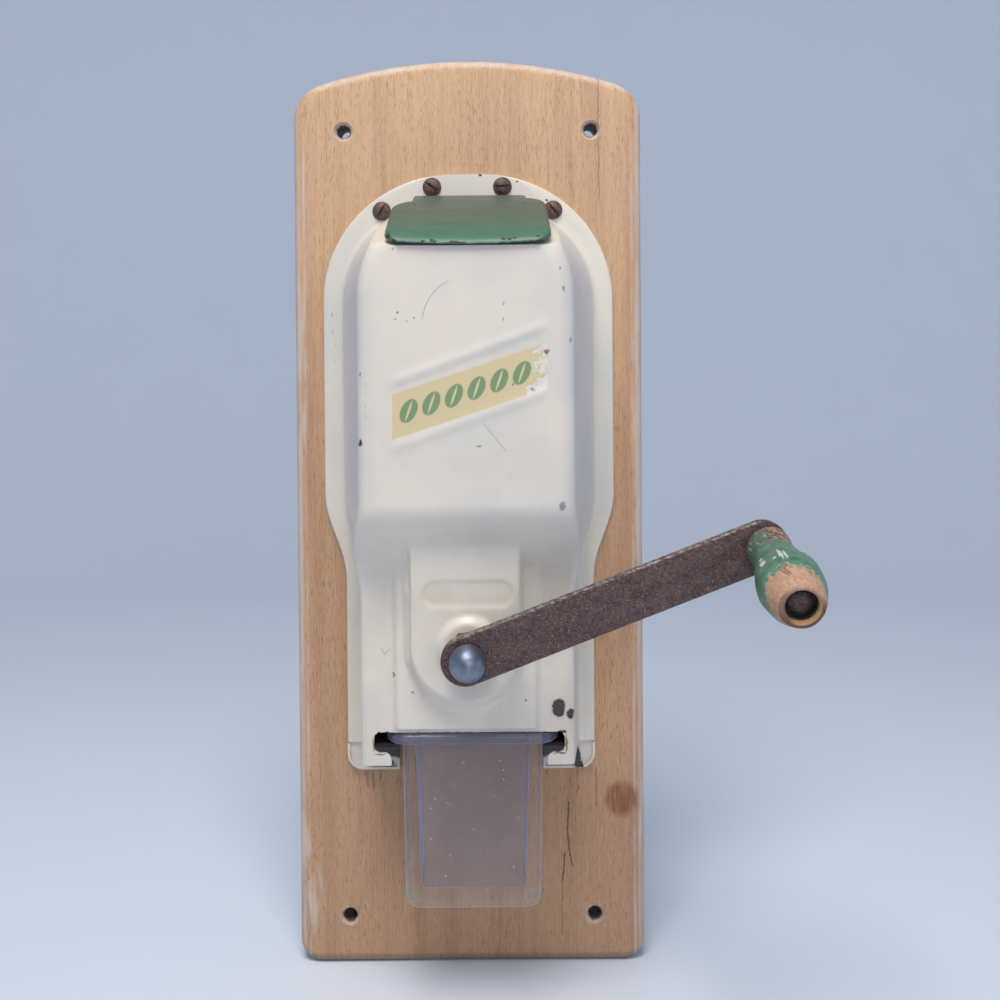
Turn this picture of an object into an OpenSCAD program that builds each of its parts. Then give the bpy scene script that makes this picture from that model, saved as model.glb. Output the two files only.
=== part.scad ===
// Wall mounted coffee mill: a drawn steel case on a wooden board, with a hinged lid over the bean hopper,
// a crank with a turned wooden knob, a conical grinder inside and a clear cup that slides in below.
// Millimetres. X runs to the right, Y into the wall and Z up. The origin lies on the wall,
// midway between the four wall screw holes. Names that end in _z are heights above it,
// and names that end in _out are distances in front of the board.

/* [Board] */
// Width of the wooden board
board_w = 138; // [130:1:180]
// Height of the board up to the crown of its arched top
board_h = 360; // [350:1:420]
// Thickness of the board
board_t = 18; // [17:0.5:30]
// Radius of the arched top edge
board_top_r = 196; // [150:1:400]
// Radius of the two upper corners
board_shoulder_r = 15; // [6:0.5:24]
// Radius of the two lower corners
board_foot_r = 9; // [6:0.5:20]
// Rounding of the front edges
board_edge_r = 4; // [1:0.5:5]
// Distance between the wall screw holes, sideways
wall_hole_dx = 98; // [80:1:104]
// Diameter of the wall screw holes
wall_hole_d = 5; // [3:0.5:7]
// Diameter of the worn countersinks
wall_sink_d = 8.5; // [7.5:0.5:12]
// Depth of the worn countersinks
wall_sink_depth = 2; // [0.5:0.5:4]
// Height of the lower wall holes above the board's lower edge
wall_hole_margin = 19; // [12:1:30]
// Distance of the upper wall holes below the crown of the board
wall_hole_top = 28; // [24:1:34]

/* [Case outline] */
// Thickness of the drawn front shell
shell_t = 1.2; // [0.8:0.1:1.6]
// Thickness of the back plate
plate_t = 1; // [0.6:0.1:1.5]
// Width of the flange round the hopper
flange_w = 114.6; // [110:0.2:124]
// Width of the flange round the chest
flange_foot_w = 98.2; // [94:0.2:104]
// Width of the hopper at the foot of its walls
hopper_w = 98; // [94:0.2:104]
// Width of the chest at the foot of its walls
chest_w = 84.4; // [82:0.2:90]
// Height where the arched top of the case springs
spring_z = 89; // [80:1:95]
// Rise of the flange's arch
flange_rise = 50; // [47:0.5:56]
// Flat stretch at the crown of the flange, half its length
flange_flat = 6; // [2:0.5:10]
// Rise of the arch at the foot of the walls
wall_rise = 36.8; // [35:0.1:39]
// Flat stretch at the crown of the walls, half its length
wall_flat = 14; // [10:0.5:18]
// Height where the neck between hopper and chest begins
neck_top_z = 13; // [8:1:24]
// Height where the neck ends
neck_foot_z = -21; // [-26:1:-16]
// Height of the flange's lower end
flange_foot_z = -86; // [-92:1:-82]
// Height of the back plate's lower end
plate_foot_z = -96.8; // [-110:0.2:-94]
// Radius of the back plate's lower corners
plate_foot_r = 6; // [2:0.5:9]

/* [Case front] */
// Depth of the chest in front of the board
chest_out = 42; // [40:0.5:48]
// Depth of the hopper in front of the board
hopper_out = 60; // [56:0.5:70]
// Height of the lower edge of the chest's face
chest_foot_z = -81; // [-84:0.5:-78]
// Height where the step up to the hopper begins
step_foot_z = -14; // [-18:1:-8]
// Height where the step up to the hopper ends
step_top_z = 17; // [10:1:26]
// Slope of the shoulder under the lid, in degrees
shoulder_angle = 20; // [16:0.5:22]
// Draft of the hopper walls, sideways per depth
hopper_draft = 0.125; // [0.08:0.005:0.15]
// Draft of the chest walls, sideways per depth
chest_draft = 0.038; // [0.01:0.002:0.06]
// Rounding where the shoulder meets the face
shoulder_blend = 6; // [3:0.5:8]
// Rounding of the hopper's front edges
hopper_edge_r = 6.8; // [4:0.2:9]
// Rounding of the chest's front edges
chest_edge_r = 2.8; // [2.4:0.2:4]
// How far the corners of the hopper's face draw in under the lid
hopper_corner_in = 6; // [0:0.5:9]
// Fillet at the foot of the walls
wall_foot_r = 0.8; // [0.4:0.1:2]
// Half the width of the raised panel on the chest
panel_half = 26; // [23:0.5:30]
// Width of the panel's sloping edge
panel_edge = 1.5; // [0.5:0.1:2.5]
// How far the panel stands proud
panel_raise = 2; // [0.5:0.1:4]
// Height of the panel's lower edge
panel_foot_z = -67.8; // [-68.5:0.1:-62]
// Half the width of the shield round the shaft
shield_half = 20.2; // [18:0.2:22]
// How far the shield stands proud of the chest
shield_raise = 9; // [5:0.5:11]
// Width of the shield's sloping edge
shield_edge = 1.6; // [0.6:0.1:3]
// Radius of the round boss on the shield
boss_r = 11; // [9.5:0.5:14]
// Height of the boss
boss_h = 2.5; // [1:0.1:3]
// Half the length of the shallow stadium recess on the shield
recess_half = 16; // [10:0.5:17]
// Half the height of the recess
recess_r = 4.6; // [3:0.1:5.5]
// Height of the recess
recess_z = -16.6; // [-18:0.1:-14]
// Depth of the recess
recess_depth = 0.4; // [0.2:0.1:0.6]
// Half the width of the two slanted ribs on the hopper
rib_half = 27.3; // [20:0.5:30]
// Height of the lower rib's middle
rib_z = 46; // [40:0.5:60]
// Distance between the ribs, up and down
rib_gap = 23; // [16:0.5:26]
// Slope of the ribs, in degrees
rib_angle = 20; // [0:1:24]
// Radius of the ribs
rib_r = 1.6; // [1.2:0.1:2.4]
// Height of the ribs above the face
rib_raise = 0.8; // [0.4:0.1:1]

/* [Bean mouth] */
// Half the width of the mouth through the shoulder
mouth_half = 19; // [14:0.5:20]
// Distance of the mouth's rear edge from the board
mouth_back_out = 19; // [18.5:0.5:24]
// Distance of the mouth's front edge from the board
mouth_front_out = 52; // [44:0.5:53]
// Rounding of the mouth's corners
mouth_r = 5; // [2:0.5:8]

/* [Cup slot] */
// Height of the slot's upper edge
slot_top_z = -68.9; // [-69:0.1:-68.5]
// Height of the slot, down to the lips
slot_h = 7.6; // [7:0.1:9]
// Half the width of the slot
slot_half = 34.7; // [34.2:0.1:36]
// Half the width of the opening between the lips
lip_gap_half = 28.5; // [27.5:0.1:31]
// Radius of the slot's ends
slot_r = 2; // [0.5:0.1:3]

/* [Cup] */
// How far the cup stands to the right of the middle
cup_shift = 1; // [0:0.1:1.1]
// Height of the cup
cup_h = 65.2; // [50:0.2:90]
// Half the width of the rim
rim_half = 31.5; // [30.5:0.1:32]
// Thickness of the rim
rim_t = 4; // [3:0.1:4.4]
// Half the width of the body just under the rim
cup_half = 25.9; // [23:0.1:26]
// How much narrower the body is at the bottom, on each side
cup_taper = 1; // [0:0.1:3]
// Depth of the body, front to back
cup_depth = 37.5; // [34:0.5:38]
// Distance of the body from the board
cup_back_out = 4; // [3.5:0.1:6]
// How far the rim stands proud at front and back
rim_lip = 2; // [1:0.1:2.4]
// Wall of the cup at the top
cup_wall = 4.5; // [2:0.1:5]
// How much thicker the wall is at the bottom
cup_wall_more = 1.2; // [0:0.1:3]
// Thickness of the cup's floor
cup_floor = 6; // [3:0.1:9]
// Radius of the cup's upright corners
cup_corner_r = 6; // [4.5:0.2:9]
// Radius of the hollow's upright corners
cup_inner_r = 2.8; // [1.5:0.1:4]
// Rounding of the cup's lower edge
cup_foot_r = 3; // [1:0.2:4]

/* [Rails] */
// Thickness of the rails that carry the cup's rim
rail_t = 1.2; // [0.8:0.1:1.6]
// Distance of a rail's inner edge from the middle
rail_half = 27.4; // [27.2:0.1:28]
// Width of a rail
rail_w = 10.6; // [8:0.1:11]
// How far a rail's foot is set back from its inner edge
rail_foot_in = 2.4; // [2.3:0.1:3]
// Height of the foot that fixes a rail to the back plate
rail_foot_h = 12; // [9:0.5:16]

/* [Lid] */
// Thickness of the lid's sheet
lid_t = 1; // [0.6:0.1:1.4]
// Width of the lid at its front edge
lid_w = 57.4; // [50:0.2:60]
// Width of the tongue at the hinge
tongue_w = 44.4; // [43:0.2:48]
// Length of the tongue in front of the hinge
tongue_l = 4; // [2:0.5:8]
// Rounding of the lid's rear corners
lid_shoulder_r = 9; // [6:0.5:14]
// Rounding of the lid's front corners
lid_corner_r = 5; // [3:0.5:9]
// Gap between the lid's front lip and the hopper's face
lid_lip_gap = 0.6; // [0.4:0.1:1.5]
// Height of the lip's lower edge
lid_lip_z = 107.2; // [105:0.2:108]
// Radius of the bend into the lip
lid_bend_r = 4; // [2:0.2:4.6]
// Depth of the skirt along the lid's sides
lid_skirt = 2; // [1:0.1:2.6]

/* [Hinge] */
// Distance of the hinge axis in front of the board
hinge_out = 7.4; // [7:0.1:9]
// Radius of the hinge pin
hinge_pin_r = 1.2; // [0.8:0.1:1.4]
// Radius of the knuckles
knuckle_r = 2; // [1.7:0.1:2.2]
// Half the length of the lid's knuckle
knuckle_half = 15; // [10:0.5:17]
// Length of the hinge leaf in front of the axis
leaf_l = 9; // [8:0.5:10]
// Thickness of the hinge leaf
leaf_t = 1; // [0.6:0.1:1.2]
// Distance of the leaf's rivets in front of the axis
leaf_rivet_u = 6; // [5:0.1:6.4]
// Distance of the leaf's rivets from the middle
leaf_rivet_x = 12; // [6:0.5:17]

/* [Screws and rivets] */
// Radius of a wood screw's shank
screw_r = 2; // [1.5:0.1:2.2]
// Radius of a wood screw's head
screw_head_r = 3.7; // [3:0.1:3.8]
// Height of a wood screw's head
screw_head_h = 2.3; // [1.5:0.1:2.4]
// Length of a wood screw's shank
screw_l = 15; // [8:0.5:17]
// Distance of the upper screws from the middle
screw_top_x = 13.9; // [10:0.1:16]
// Height of the upper screws
screw_top_z = 134; // [133.5:0.1:134.5]
// Distance of the side screws from the middle
screw_side_x = 33.8; // [33.7:0.1:35]
// Height of the side screws
screw_side_z = 124.7; // [124.6:0.1:125.4]
// Radius of a rivet's shank
rivet_r = 1; // [0.8:0.1:1.3]
// Radius of a rivet's head
rivet_head_r = 2; // [1.5:0.1:2.4]
// Height of a rivet's head
rivet_head_h = 0.8; // [0.5:0.1:1]

/* [Grinder] */
// Height of the shaft
shaft_z = -36; // [-40:0.5:-34]
// Radius of the shaft
shaft_r = 4; // [3.6:0.1:4.4]
// Outer radius of the burr housing
housing_r = 27; // [26:0.5:29]
// Wall of the housing's barrel
housing_wall = 4; // [3:0.1:5]
// Distance of the housing's barrel from the board
barrel_out = 8; // [7:0.5:9]
// Thickness of the housing's front wall
housing_front_t = 4; // [3:0.5:5]
// Half the width of the housing between the outer faces of its lugs
lug_half = 38; // [36.5:0.5:39]
// Half the height of the lugs
lug_half_h = 20; // [17:0.5:23]
// Distance of the housing screws from the middle
lug_screw_x = 32.5; // [31.5:0.5:34]
// Distance of the housing screws above and below the shaft
lug_screw_dz = 14; // [8:0.5:16]
// How far the lugs run into the barrel
lug_root = 9; // [8:0.5:10]
// Radius of a housing screw's shank
lug_screw_r = 2.4; // [1.8:0.1:2.6]
// Radius of a housing screw's head
lug_head_r = 4.2; // [3.6:0.1:4.6]
// Height of a housing screw's head
lug_head_h = 3; // [2:0.1:3.4]
// How far a housing screw runs into the board
lug_screw_bite = 9; // [6:0.5:14]
// Height of the bar that carries the shaft's rear end
bar_h = 14; // [13:0.5:18]
// Thickness of that bar
bar_t = 5; // [4:0.5:6]
// Outer radius of the shaft's bushes
bush_r = 5.8; // [5.6:0.1:6.2]
// Width of the front bush's flange
bush_flange_w = 3; // [2:0.1:3.5]
// Thickness of that flange
bush_flange_t = 1.5; // [1:0.1:2]
// How far the ring burr lies inside the barrel
ring_in = 2; // [1:0.1:3]
// Width of the shoulder that the ring burr seats on
ring_seat = 2.5; // [1.5:0.1:3]
// Length of the ring burr
ring_l = 15; // [10:0.5:17]
// Inner radius of the ring burr at its outlet
ring_outlet_r = 18.8; // [17:0.1:19.5]
// Inner radius of the ring burr at its inlet
ring_inlet_r = 13.4; // [12:0.1:15]
// Gap between the two burrs
burr_gap = 0.9; // [0.7:0.1:1.5]
// Radius of the cone burr's nose
cone_nose_r = 8.4; // [7.8:0.1:9.4]
// How far the cone burr reaches out of the ring burr
cone_proud = 0.5; // [0:0.1:1]
// Radius of the pin that holds the cone burr
burr_pin_r = 1.3; // [1:0.1:1.5]
// Half the length of that pin
burr_pin_half = 7.4; // [6:0.1:7.8]
// Distance of that pin from the cone burr's nose
burr_pin_in = 3.2; // [2.6:0.1:4]
// Radius of the disc spring behind the housing's front wall
spring_r = 8; // [7:0.1:9]
// Height of the disc spring
spring_h = 1.9; // [1.6:0.1:2.2]
// Thickness of the disc spring
spring_t = 0.9; // [0.6:0.1:1.2]
// Number of teeth on the ring burr
ring_teeth = 24; // [12:2:36]
// Number of teeth on the cone burr
cone_teeth = 14; // [8:1:18]
// Width of the grooves between the ring burr's teeth
ring_groove = 1.6; // [1:0.1:2]
// Width of the grooves between the cone burr's teeth
cone_groove = 2; // [1:0.1:2.6]
// Depth of the teeth
tooth_depth = 1.2; // [0.5:0.1:1.6]
// Half the width of the inlet in the housing
inlet_half = 15; // [10:0.5:16]

/* [Funnel] */
// Thickness of the hopper's funnel
funnel_t = 1; // [0.8:0.1:1.4]
// Height of the funnel's upper edge above the step
funnel_rise = 5; // [3:0.5:9]
// Gap between the funnel and the hopper's face
funnel_front_gap = 2.3; // [1.5:0.1:4]
// Gap between the funnel and the feet of the hopper's walls
funnel_foot_gap = 2.5; // [2:0.1:4]
// Gap between the funnel and the hopper's walls
funnel_side_gap = 0.6; // [0.4:0.1:1.5]
// Width of the funnel's front corners, sideways
funnel_corner_x = 6; // [5:0.5:9]
// Depth of the funnel's front corners
funnel_corner_out = 12.5; // [10:0.5:16]
// Height of the funnel's back strap above its upper edge
strap_h = 12; // [9:0.5:20]
// Half the width of the back strap
strap_half = 16; // [12:0.5:24]
// Distance of the strap's rivets from its sides
strap_rivet_in = 5; // [4:0.5:7]

/* [Crank] */
// Angle of the crank above the horizontal as it stands, in degrees
crank_angle = 21; // [0:1:45]
// Length of the crank between its two centres
crank_l = 110; // [95:1:130]
// Width of the crank arm
arm_w = 17; // [15:0.5:20]
// Thickness of the crank arm
arm_t = 4; // [3:0.1:6]
// Gap between the hopper's face and the crank arm
arm_gap = 4; // [3.4:0.1:8]
// Side of the shaft's square end
square_w = 5.6; // [4.8:0.1:5.6]
// Radius of the shaft's threaded end
thread_r = 2.7; // [2.2:0.1:2.8]
// Metal over the shaft's end in the dome nut
dome_crown = 3; // [2:0.1:4]
// Gap between the shaft's rear end and the back plate
shaft_rear_gap = 0.8; // [0.7:0.1:2]
// Outer radius of the grind adjusting nut
adjust_r = 8.1; // [7.4:0.1:9]
// Height of the grind adjusting nut
adjust_h = 5.8; // [4:0.1:6]
// Radius of the grip notches in the adjusting nut
adjust_notch_r = 1.2; // [0.6:0.1:1.4]
// Room for the adjusting nut to travel
adjust_room = 0.7; // [0.6:0.1:1.5]
// How far the front bush ends short of the adjusting nut's face
bush_short = 1; // [0.7:0.1:2]
// Radius of the thrust washer
thrust_r = 7.5; // [6.5:0.1:8]
// Thickness of the thrust washer
thrust_t = 2; // [1:0.1:2.2]
// Height of the hexagon nut that holds the front bush
bush_nut_h = 1.9; // [1.5:0.1:2]
// Radius of that nut over its corners
bush_nut_r = 8; // [7.6:0.1:9]
// Radius of the dome nut
dome_r = 6.4; // [5.5:0.1:7.5]
// Height of the dome nut
dome_h = 8.6; // [7:0.1:12]
// Radius of the washer under the dome nut
lock_r = 6.1; // [5:0.1:7]
// Thickness of the washer under the dome nut
lock_t = 1.2; // [0.6:0.1:2]

/* [Knob] */
// Lean of the bent knob pin, in degrees
knob_lean = 13; // [0:0.5:18]
// Length of the knob
knob_l = 46; // [36:0.5:60]
// Length of the knob's collar beside the arm
collar_l = 2.8; // [1.5:0.1:5]
// Distance of the neck from the arm's end of the knob
neck_at = 9.2; // [7:0.1:12]
// Distance of the belly from the arm's end of the knob
belly_at = 30.4; // [24:0.1:33]
// Radius of the knob's collar beside the arm
collar_r = 7.6; // [6.5:0.1:8.5]
// Radius of the knob's neck
neck_r = 6.9; // [5:0.1:7.2]
// Radius of the knob's belly
belly_r = 10.7; // [9:0.1:14]
// Radius of the knob's end
end_r = 7.3; // [6.4:0.1:9]
// Radius of the counterbore in the knob's end
sink_r = 5.1; // [4.8:0.1:5.6]
// Depth of the counterbore
sink_depth = 5; // [3:0.1:8]
// Radius of the knob pin
knob_pin_r = 3; // [2.4:0.1:3.4]
// Radius of the knob pin's head
pin_head_r = 4.3; // [4:0.1:4.4]
// Height of the knob pin's head
pin_head_h = 2.4; // [1.5:0.1:3]

/* [Fits] */
// Gap round a piece that is fixed in a hole
fixed_gap = 0.05; // [0.03:0.01:0.08]
// Gap round a shaft or a pin that turns
running_gap = 0.08; // [0.05:0.01:0.1]
// Gap between faces that pass each other
passing_gap = 0.4; // [0.3:0.05:0.6]
// Gap that the grind adjustment needs at each end
shift_gap = 0.8; // [0.7:0.05:1]

/* [Hidden] */
$fn = 64;

cream = "#dcd5cb";
steel = "#54484a";
iron = "#4a4a4c";
brass = "#b09050";

// How far a cut runs past what it cuts, and how far two solids of one piece run into each other
past = 1;
joined = 0.01;

// Board
wall_hole_dz = board_h - wall_hole_margin - wall_hole_top;
board_foot_z = -wall_hole_dz / 2 - wall_hole_margin;
board_top_z = board_foot_z + board_h;

// Case
flange_out = plate_t + shell_t;
flange_top_z = spring_z + flange_rise;
wall_top_z = spring_z + wall_rise;
shield_out = chest_out + shield_raise;
shield_z = shaft_z - 2;
chest_inner_out = chest_out - shell_t;
shield_inner_out = shield_out - shell_t;
boss_out = shield_out + boss_h;

// Hinge and lid, along and square to the shoulder
knuckle_lift = knuckle_r + passing_gap;
hinge_z = wall_top_z - (hinge_out - flange_out) * tan(shoulder_angle)
  + knuckle_lift / cos(shoulder_angle);
lid_under = knuckle_r + passing_gap / 2;
lid_over = lid_under + lid_t;
lip_out = hopper_out + lid_lip_gap + lid_t;
leaf_half = tongue_w / 2 - lid_t - passing_gap / 2;

// Shaft stack, from the case outwards
arm_out = max(
  hopper_out + arm_gap,
  boss_out + bush_nut_h + adjust_room + adjust_h + thrust_t
);
thrust_out = arm_out - thrust_t;
adjust_out = thrust_out - adjust_h;
bush_front_out = thrust_out - bush_short;
arm_front_out = arm_out + arm_t;
dome_out = arm_front_out + lock_t;
shaft_back_out = plate_t + shaft_rear_gap;
shaft_front_out = dome_out + dome_h - dome_crown;

// Housing
housing_front_out = chest_inner_out - shift_gap;
housing_inner_out = housing_front_out - housing_front_t;
ring_out = barrel_out + ring_in;
ring_front_out = ring_out + ring_l;
ring_r = housing_r - housing_wall;
barrel_r = ring_r - ring_seat;
bush_flange_r = bush_r + bush_flange_w;
cone_out = ring_out - cone_proud;
cone_front_out = housing_inner_out - spring_h - shift_gap;
burr_pin_out = cone_front_out - burr_pin_in;
burr_slope = (ring_outlet_r - ring_inlet_r) / ring_l;
inlet_back_out = ring_front_out + shift_gap;
lug_t = barrel_out - plate_t;
lug_screw_l = lug_t + plate_t + lug_screw_bite;

// Cup and rails
cup_top_z = slot_top_z - passing_gap;
rim_foot_z = cup_top_z - rim_t;
rail_z = rim_foot_z - passing_gap / 2 - rail_t;
cup_mid_out = cup_back_out + cup_depth / 2;
rail_front_out = chest_inner_out - passing_gap;
rail_foot_x = rail_half + (rail_w + rail_foot_in) / 2;

// Knob, along its pin
knob_gap = collar_r * tan(knob_lean) + passing_gap;
pin_end = knob_gap + knob_l - sink_depth;

// Helpers

function ramp(v, a, b) = min(max((v - a) / (b - a), 0), 1);

function ease(v, a, b) = (1 - cos(180 * ramp(v, a, b))) / 2;

function mix(a, b, s) = a + (b - a) * s;

function soft_min(a, b, k) = min(a, b) - pow(max(k - abs(a - b), 0), 2) / (4 * k);

function arc(c, r, from, to, steps) = [
  for (i = [0:steps]) c + r * [cos(mix(from, to, i / steps)), sin(mix(from, to, i / steps))]
];

function level(points, h) = [for (p = points) [p.x, p.y, h]];

function round_rect(hx, hy, r, steps = 6) = concat(
  arc([hx - r, hy - r], r, 0, 90, steps),
  arc([r - hx, hy - r], r, 90, 180, steps),
  arc([r - hx, r - hy], r, 180, 270, steps),
  arc([hx - r, r - hy], r, 270, 360, steps)
);

// Point on the lid's side view: u runs down the shoulder from the hinge, v stands square to it
function on_slope(u, v) = [
  hinge_z - u * sin(shoulder_angle) + v * cos(shoulder_angle),
  board_t + hinge_out + u * cos(shoulder_angle) + v * sin(shoulder_angle)
];

// Turns what is drawn on the wall, with its depth upwards, to stand on the wall
module from_wall() {
  rotate([90, 0, 0])
    children();
}

// Moves a piece out to a distance in front of the board
module ahead(out) {
  translate([0, 0, board_t + out])
    children();
}

module on_shaft(out) {
  translate([0, shaft_z, board_t + out])
    children();
}

module mirrored() {
  children();
  mirror([1, 0, 0])
    children();
}

// Solid through closed rings of points, each ring running anticlockwise seen from the last one.
// The ends of a hollow solid are closed between the two halves of the ring, its outer and its inner skin.
module loft(rings, hollow = false) {
  n = len(rings[0]);
  last = len(rings) - 1;
  whole = [[for (i = [0:n - 1]) i]];
  strip = [
    for (i = [0:n / 2 - 2])
      each [[i, i + 1, n - 2 - i], [i, n - 2 - i, n - 1 - i]]
  ];
  foot = hollow ? strip : whole;
  crown = [for (face = foot) [for (i = [len(face) - 1:-1:0]) last * n + face[i]]];
  sides = [
    for (k = [0:last - 1], i = [0:n - 1])
      let (a = k * n + i, b = k * n + (i + 1) % n)
        each [[a, a + n, b + n], [a, b + n, b]]
  ];
  polyhedron(points = [for (ring = rings) each ring], faces = concat(foot, sides, crown), convexity = 8);
}

module tube(outer, inner, h) {
  difference() {
    cylinder(r = outer, h = h);
    translate([0, 0, -past])
      cylinder(r = inner, h = h + 2 * past);
  }
}

// Side view in heights and depths, drawn out sideways
module across(half, points) {
  rotate([90, 0, 90])
    translate([0, 0, -half])
      linear_extrude(2 * half)
        polygon(points);
}

// Head or tail of a fastener, a low dome on a short rim
module round_head(r, h) {
  rim = h * 0.3;
  cylinder(r = r, h = rim);
  translate([0, 0, rim])
    cylinder(r1 = r, r2 = r * 0.82, h = h * 0.4);
  translate([0, 0, rim + h * 0.4])
    cylinder(r1 = r * 0.82, r2 = r * 0.45, h = h * 0.3);
}

// Backing board

board_shoulder = [board_w / 2 - board_shoulder_r, 0];
board_arch_z = board_top_z - board_top_r;
board_shoulder_z = board_arch_z
  + sqrt(pow(board_top_r - board_shoulder_r, 2) - pow(board_shoulder.x, 2));
board_turn = atan2(board_shoulder_z - board_arch_z, board_shoulder.x);
board_foot_x = board_w / 2 - board_foot_r;

function board_outline(e) = concat(
  arc([board_foot_x, board_foot_z + board_foot_r], board_foot_r - e, -90, 0, 8),
  arc([board_shoulder.x, board_shoulder_z], board_shoulder_r - e, 0, board_turn, 8),
  arc([0, board_arch_z], board_top_r - e, board_turn, 180 - board_turn, 24),
  arc([-board_shoulder.x, board_shoulder_z], board_shoulder_r - e, 180 - board_turn, 180, 8),
  arc([-board_foot_x, board_foot_z + board_foot_r], board_foot_r - e, 180, 270, 8)
);

module at_wall_holes() {
  for (x = [-1, 1], z = [-1, 1])
    translate([x * wall_hole_dx / 2, z * wall_hole_dz / 2, 0])
      children();
}

module at_flange_screws() {
  for (side = [-1, 1]) {
    translate([side * screw_top_x, screw_top_z, 0])
      children();
    translate([side * screw_side_x, screw_side_z, 0])
      children();
  }
}

module at_housing_screws() {
  for (x = [-1, 1], z = [-1, 1])
    translate([x * lug_screw_x, shaft_z + z * lug_screw_dz, 0])
      children();
}

module backing_board() {
  edge = board_t - board_edge_r;
  color("#c69f7e")
    from_wall()
      difference() {
        loft(concat(
          [level(board_outline(0), 0)],
          [
            for (a = [0:18:90])
              level(board_outline(board_edge_r * (1 - cos(a))), edge + board_edge_r * sin(a))
          ]
        ));
        at_wall_holes() {
          translate([0, 0, -past])
            cylinder(d = wall_hole_d, h = board_t + 2 * past);
          translate([0, 0, board_t - wall_sink_depth])
            cylinder(d1 = wall_hole_d, d2 = wall_sink_d, h = wall_sink_depth + joined);
        }
        at_flange_screws()
          ahead(flange_out - screw_l - fixed_gap)
            cylinder(r = screw_r + fixed_gap, h = screw_l);
        at_housing_screws()
          ahead(barrel_out - lug_screw_l - fixed_gap)
            cylinder(r = lug_screw_r + fixed_gap, h = lug_screw_l);
      }
}

// Case

function arch_half(z, half, flat, rise) =
  flat + (half - flat) * sqrt(max(1 - pow(max(z - spring_z, 0) / rise, 2), 0));

function neck(z) = ease(z, neck_foot_z, neck_top_z);

function flange_half(z) = z > spring_z
  ? arch_half(z, flange_w / 2, flange_flat, flange_rise)
  : mix(flange_foot_w, flange_w, neck(z)) / 2;

function wall_half(z) = z > wall_top_z
  ? min(wall_flat, 0.6 * flange_half(z))
  : z > spring_z
  ? arch_half(z, hopper_w / 2, wall_flat, wall_rise)
  : mix(chest_w, hopper_w, neck(z)) / 2;

function step(z) = ease(z, step_foot_z, step_top_z);

// Depth of the plain face at a height, with the shoulder that falls away under the lid
function face_out(z) =
  let (
    front = mix(chest_out, hopper_out, step(z)),
    shoulder = flange_out + (wall_top_z - z) / tan(shoulder_angle)
  )
    max(soft_min(front, shoulder, shoulder_blend), flange_out);

function shield_half_at(z) = z > shield_z
  ? shield_half
  : sqrt(max(pow(shield_half, 2) - pow(z - shield_z, 2), 0));

// The corners of the hopper's face draw in over this much height above the arch's spring,
// and between these two depths of the wall
corner_rise = 17;
corner_from = 20;
corner_full = 55;

// Least half widths of the shield at its rounded tip, on its face and at its foot
tip_face = 3;
tip_foot = 4.6;

// Right half of the case's cross section at a height, from the middle to the flange's edge,
// drawn in by the thickness t of the sheet
function half_section(z, t) =
  let (
    high = step(z),
    out = face_out(z),
    depth = out - flange_out,
    edge = min(mix(chest_edge_r, hopper_edge_r, high), wall_half(z) / 2),
    edge_out = min(edge, depth * 0.8),
    wall = wall_half(z) - max(depth - edge_out, 0) * mix(chest_draft, hopper_draft, high)
      - hopper_corner_in * ramp(z, spring_z, spring_z + corner_rise) * ramp(depth, corner_from, corner_full),
    face = wall - edge,
    round_x = edge - t,
    round_out = max(edge_out - t, 0),
    panel = z > panel_foot_z && z < step_top_z ? max(out, chest_out + panel_raise) : out,
    panel_in = min(panel_half, face * 0.8),
    half = shield_half_at(z),
    top = half > tip_face && z < step_top_z ? max(panel, shield_out) : panel,
    shield_in = min(max(half - shield_edge, tip_face), face * 0.5),
    shield_foot = min(max(half, tip_foot), face * 0.6)
  )
    concat(
      [[0, top - t], [shield_in, top - t], [shield_foot, panel - t], [panel_in, panel - t]],
      [[min(panel_in + panel_edge, face * 0.9), out - t]],
      [for (a = [0:30:90]) [face + round_x * sin(a), out - t - round_out * (1 - cos(a))]],
      [[wall_half(z) + wall_foot_r - t, flange_out - t], [flange_half(z), flange_out - t]]
    );

// Closed cross section: the outer skin from left to right, then the inner skin back
function section(z, t) =
  let (
    outer = half_section(z, 0),
    inner = half_section(z + t * ramp(z, step_top_z, spring_z), t),
    n = len(outer)
  )
    concat(
      [for (i = [n - 1:-1:1]) [-outer[i].x, outer[i].y]],
      outer,
      [for (i = [n - 1:-1:0]) [i == n - 1 ? outer[i].x : inner[i].x, inner[i].y]],
      [for (i = [1:n - 1]) [-(i == n - 1 ? outer[i].x : inner[i].x), inner[i].y]]
    );

foot_rows = [
  panel_foot_z - panel_edge / 3, panel_foot_z + panel_edge / 3, shield_z - shield_half - panel_edge / 5
];
shield_rows = [for (a = [-76:19:0]) shield_z + shield_half * sin(a)];
step_rows = [for (i = [0:6]) mix(step_foot_z, step_top_z, i / 6)];
arch_rows = [for (a = [9:9:90]) spring_z + wall_rise * sin(a)];
crown_turn = asin(wall_rise / flange_rise);
crown_rows = [for (i = [1:5]) spring_z + flange_rise * sin(mix(crown_turn, 90, i / 5))];
shell_rows = concat(
  foot_rows, shield_rows, step_rows, [mix(step_top_z, spring_z, 0.5), spring_z], arch_rows, crown_rows
);

// The lowest row slants, from the flange's lower end up to the lower edge of the face
function foot_row() = [
  for (p = section(flange_foot_z, shell_t))
    [p.x, mix(flange_foot_z, chest_foot_z, p.y / chest_out), board_t + p.y]
];

module slanted_ribs() {
  for (z = [rib_z, rib_z + rib_gap])
    translate([0, z, board_t + hopper_out + rib_raise - rib_r])
      rotate([0, 90, 0])
        rotate([-rib_angle, 0, 0])
          translate([0, 0, -rib_half / cos(rib_angle)])
            cylinder(r = rib_r, h = 2 * rib_half / cos(rib_angle), $fn = 24);
}

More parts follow.
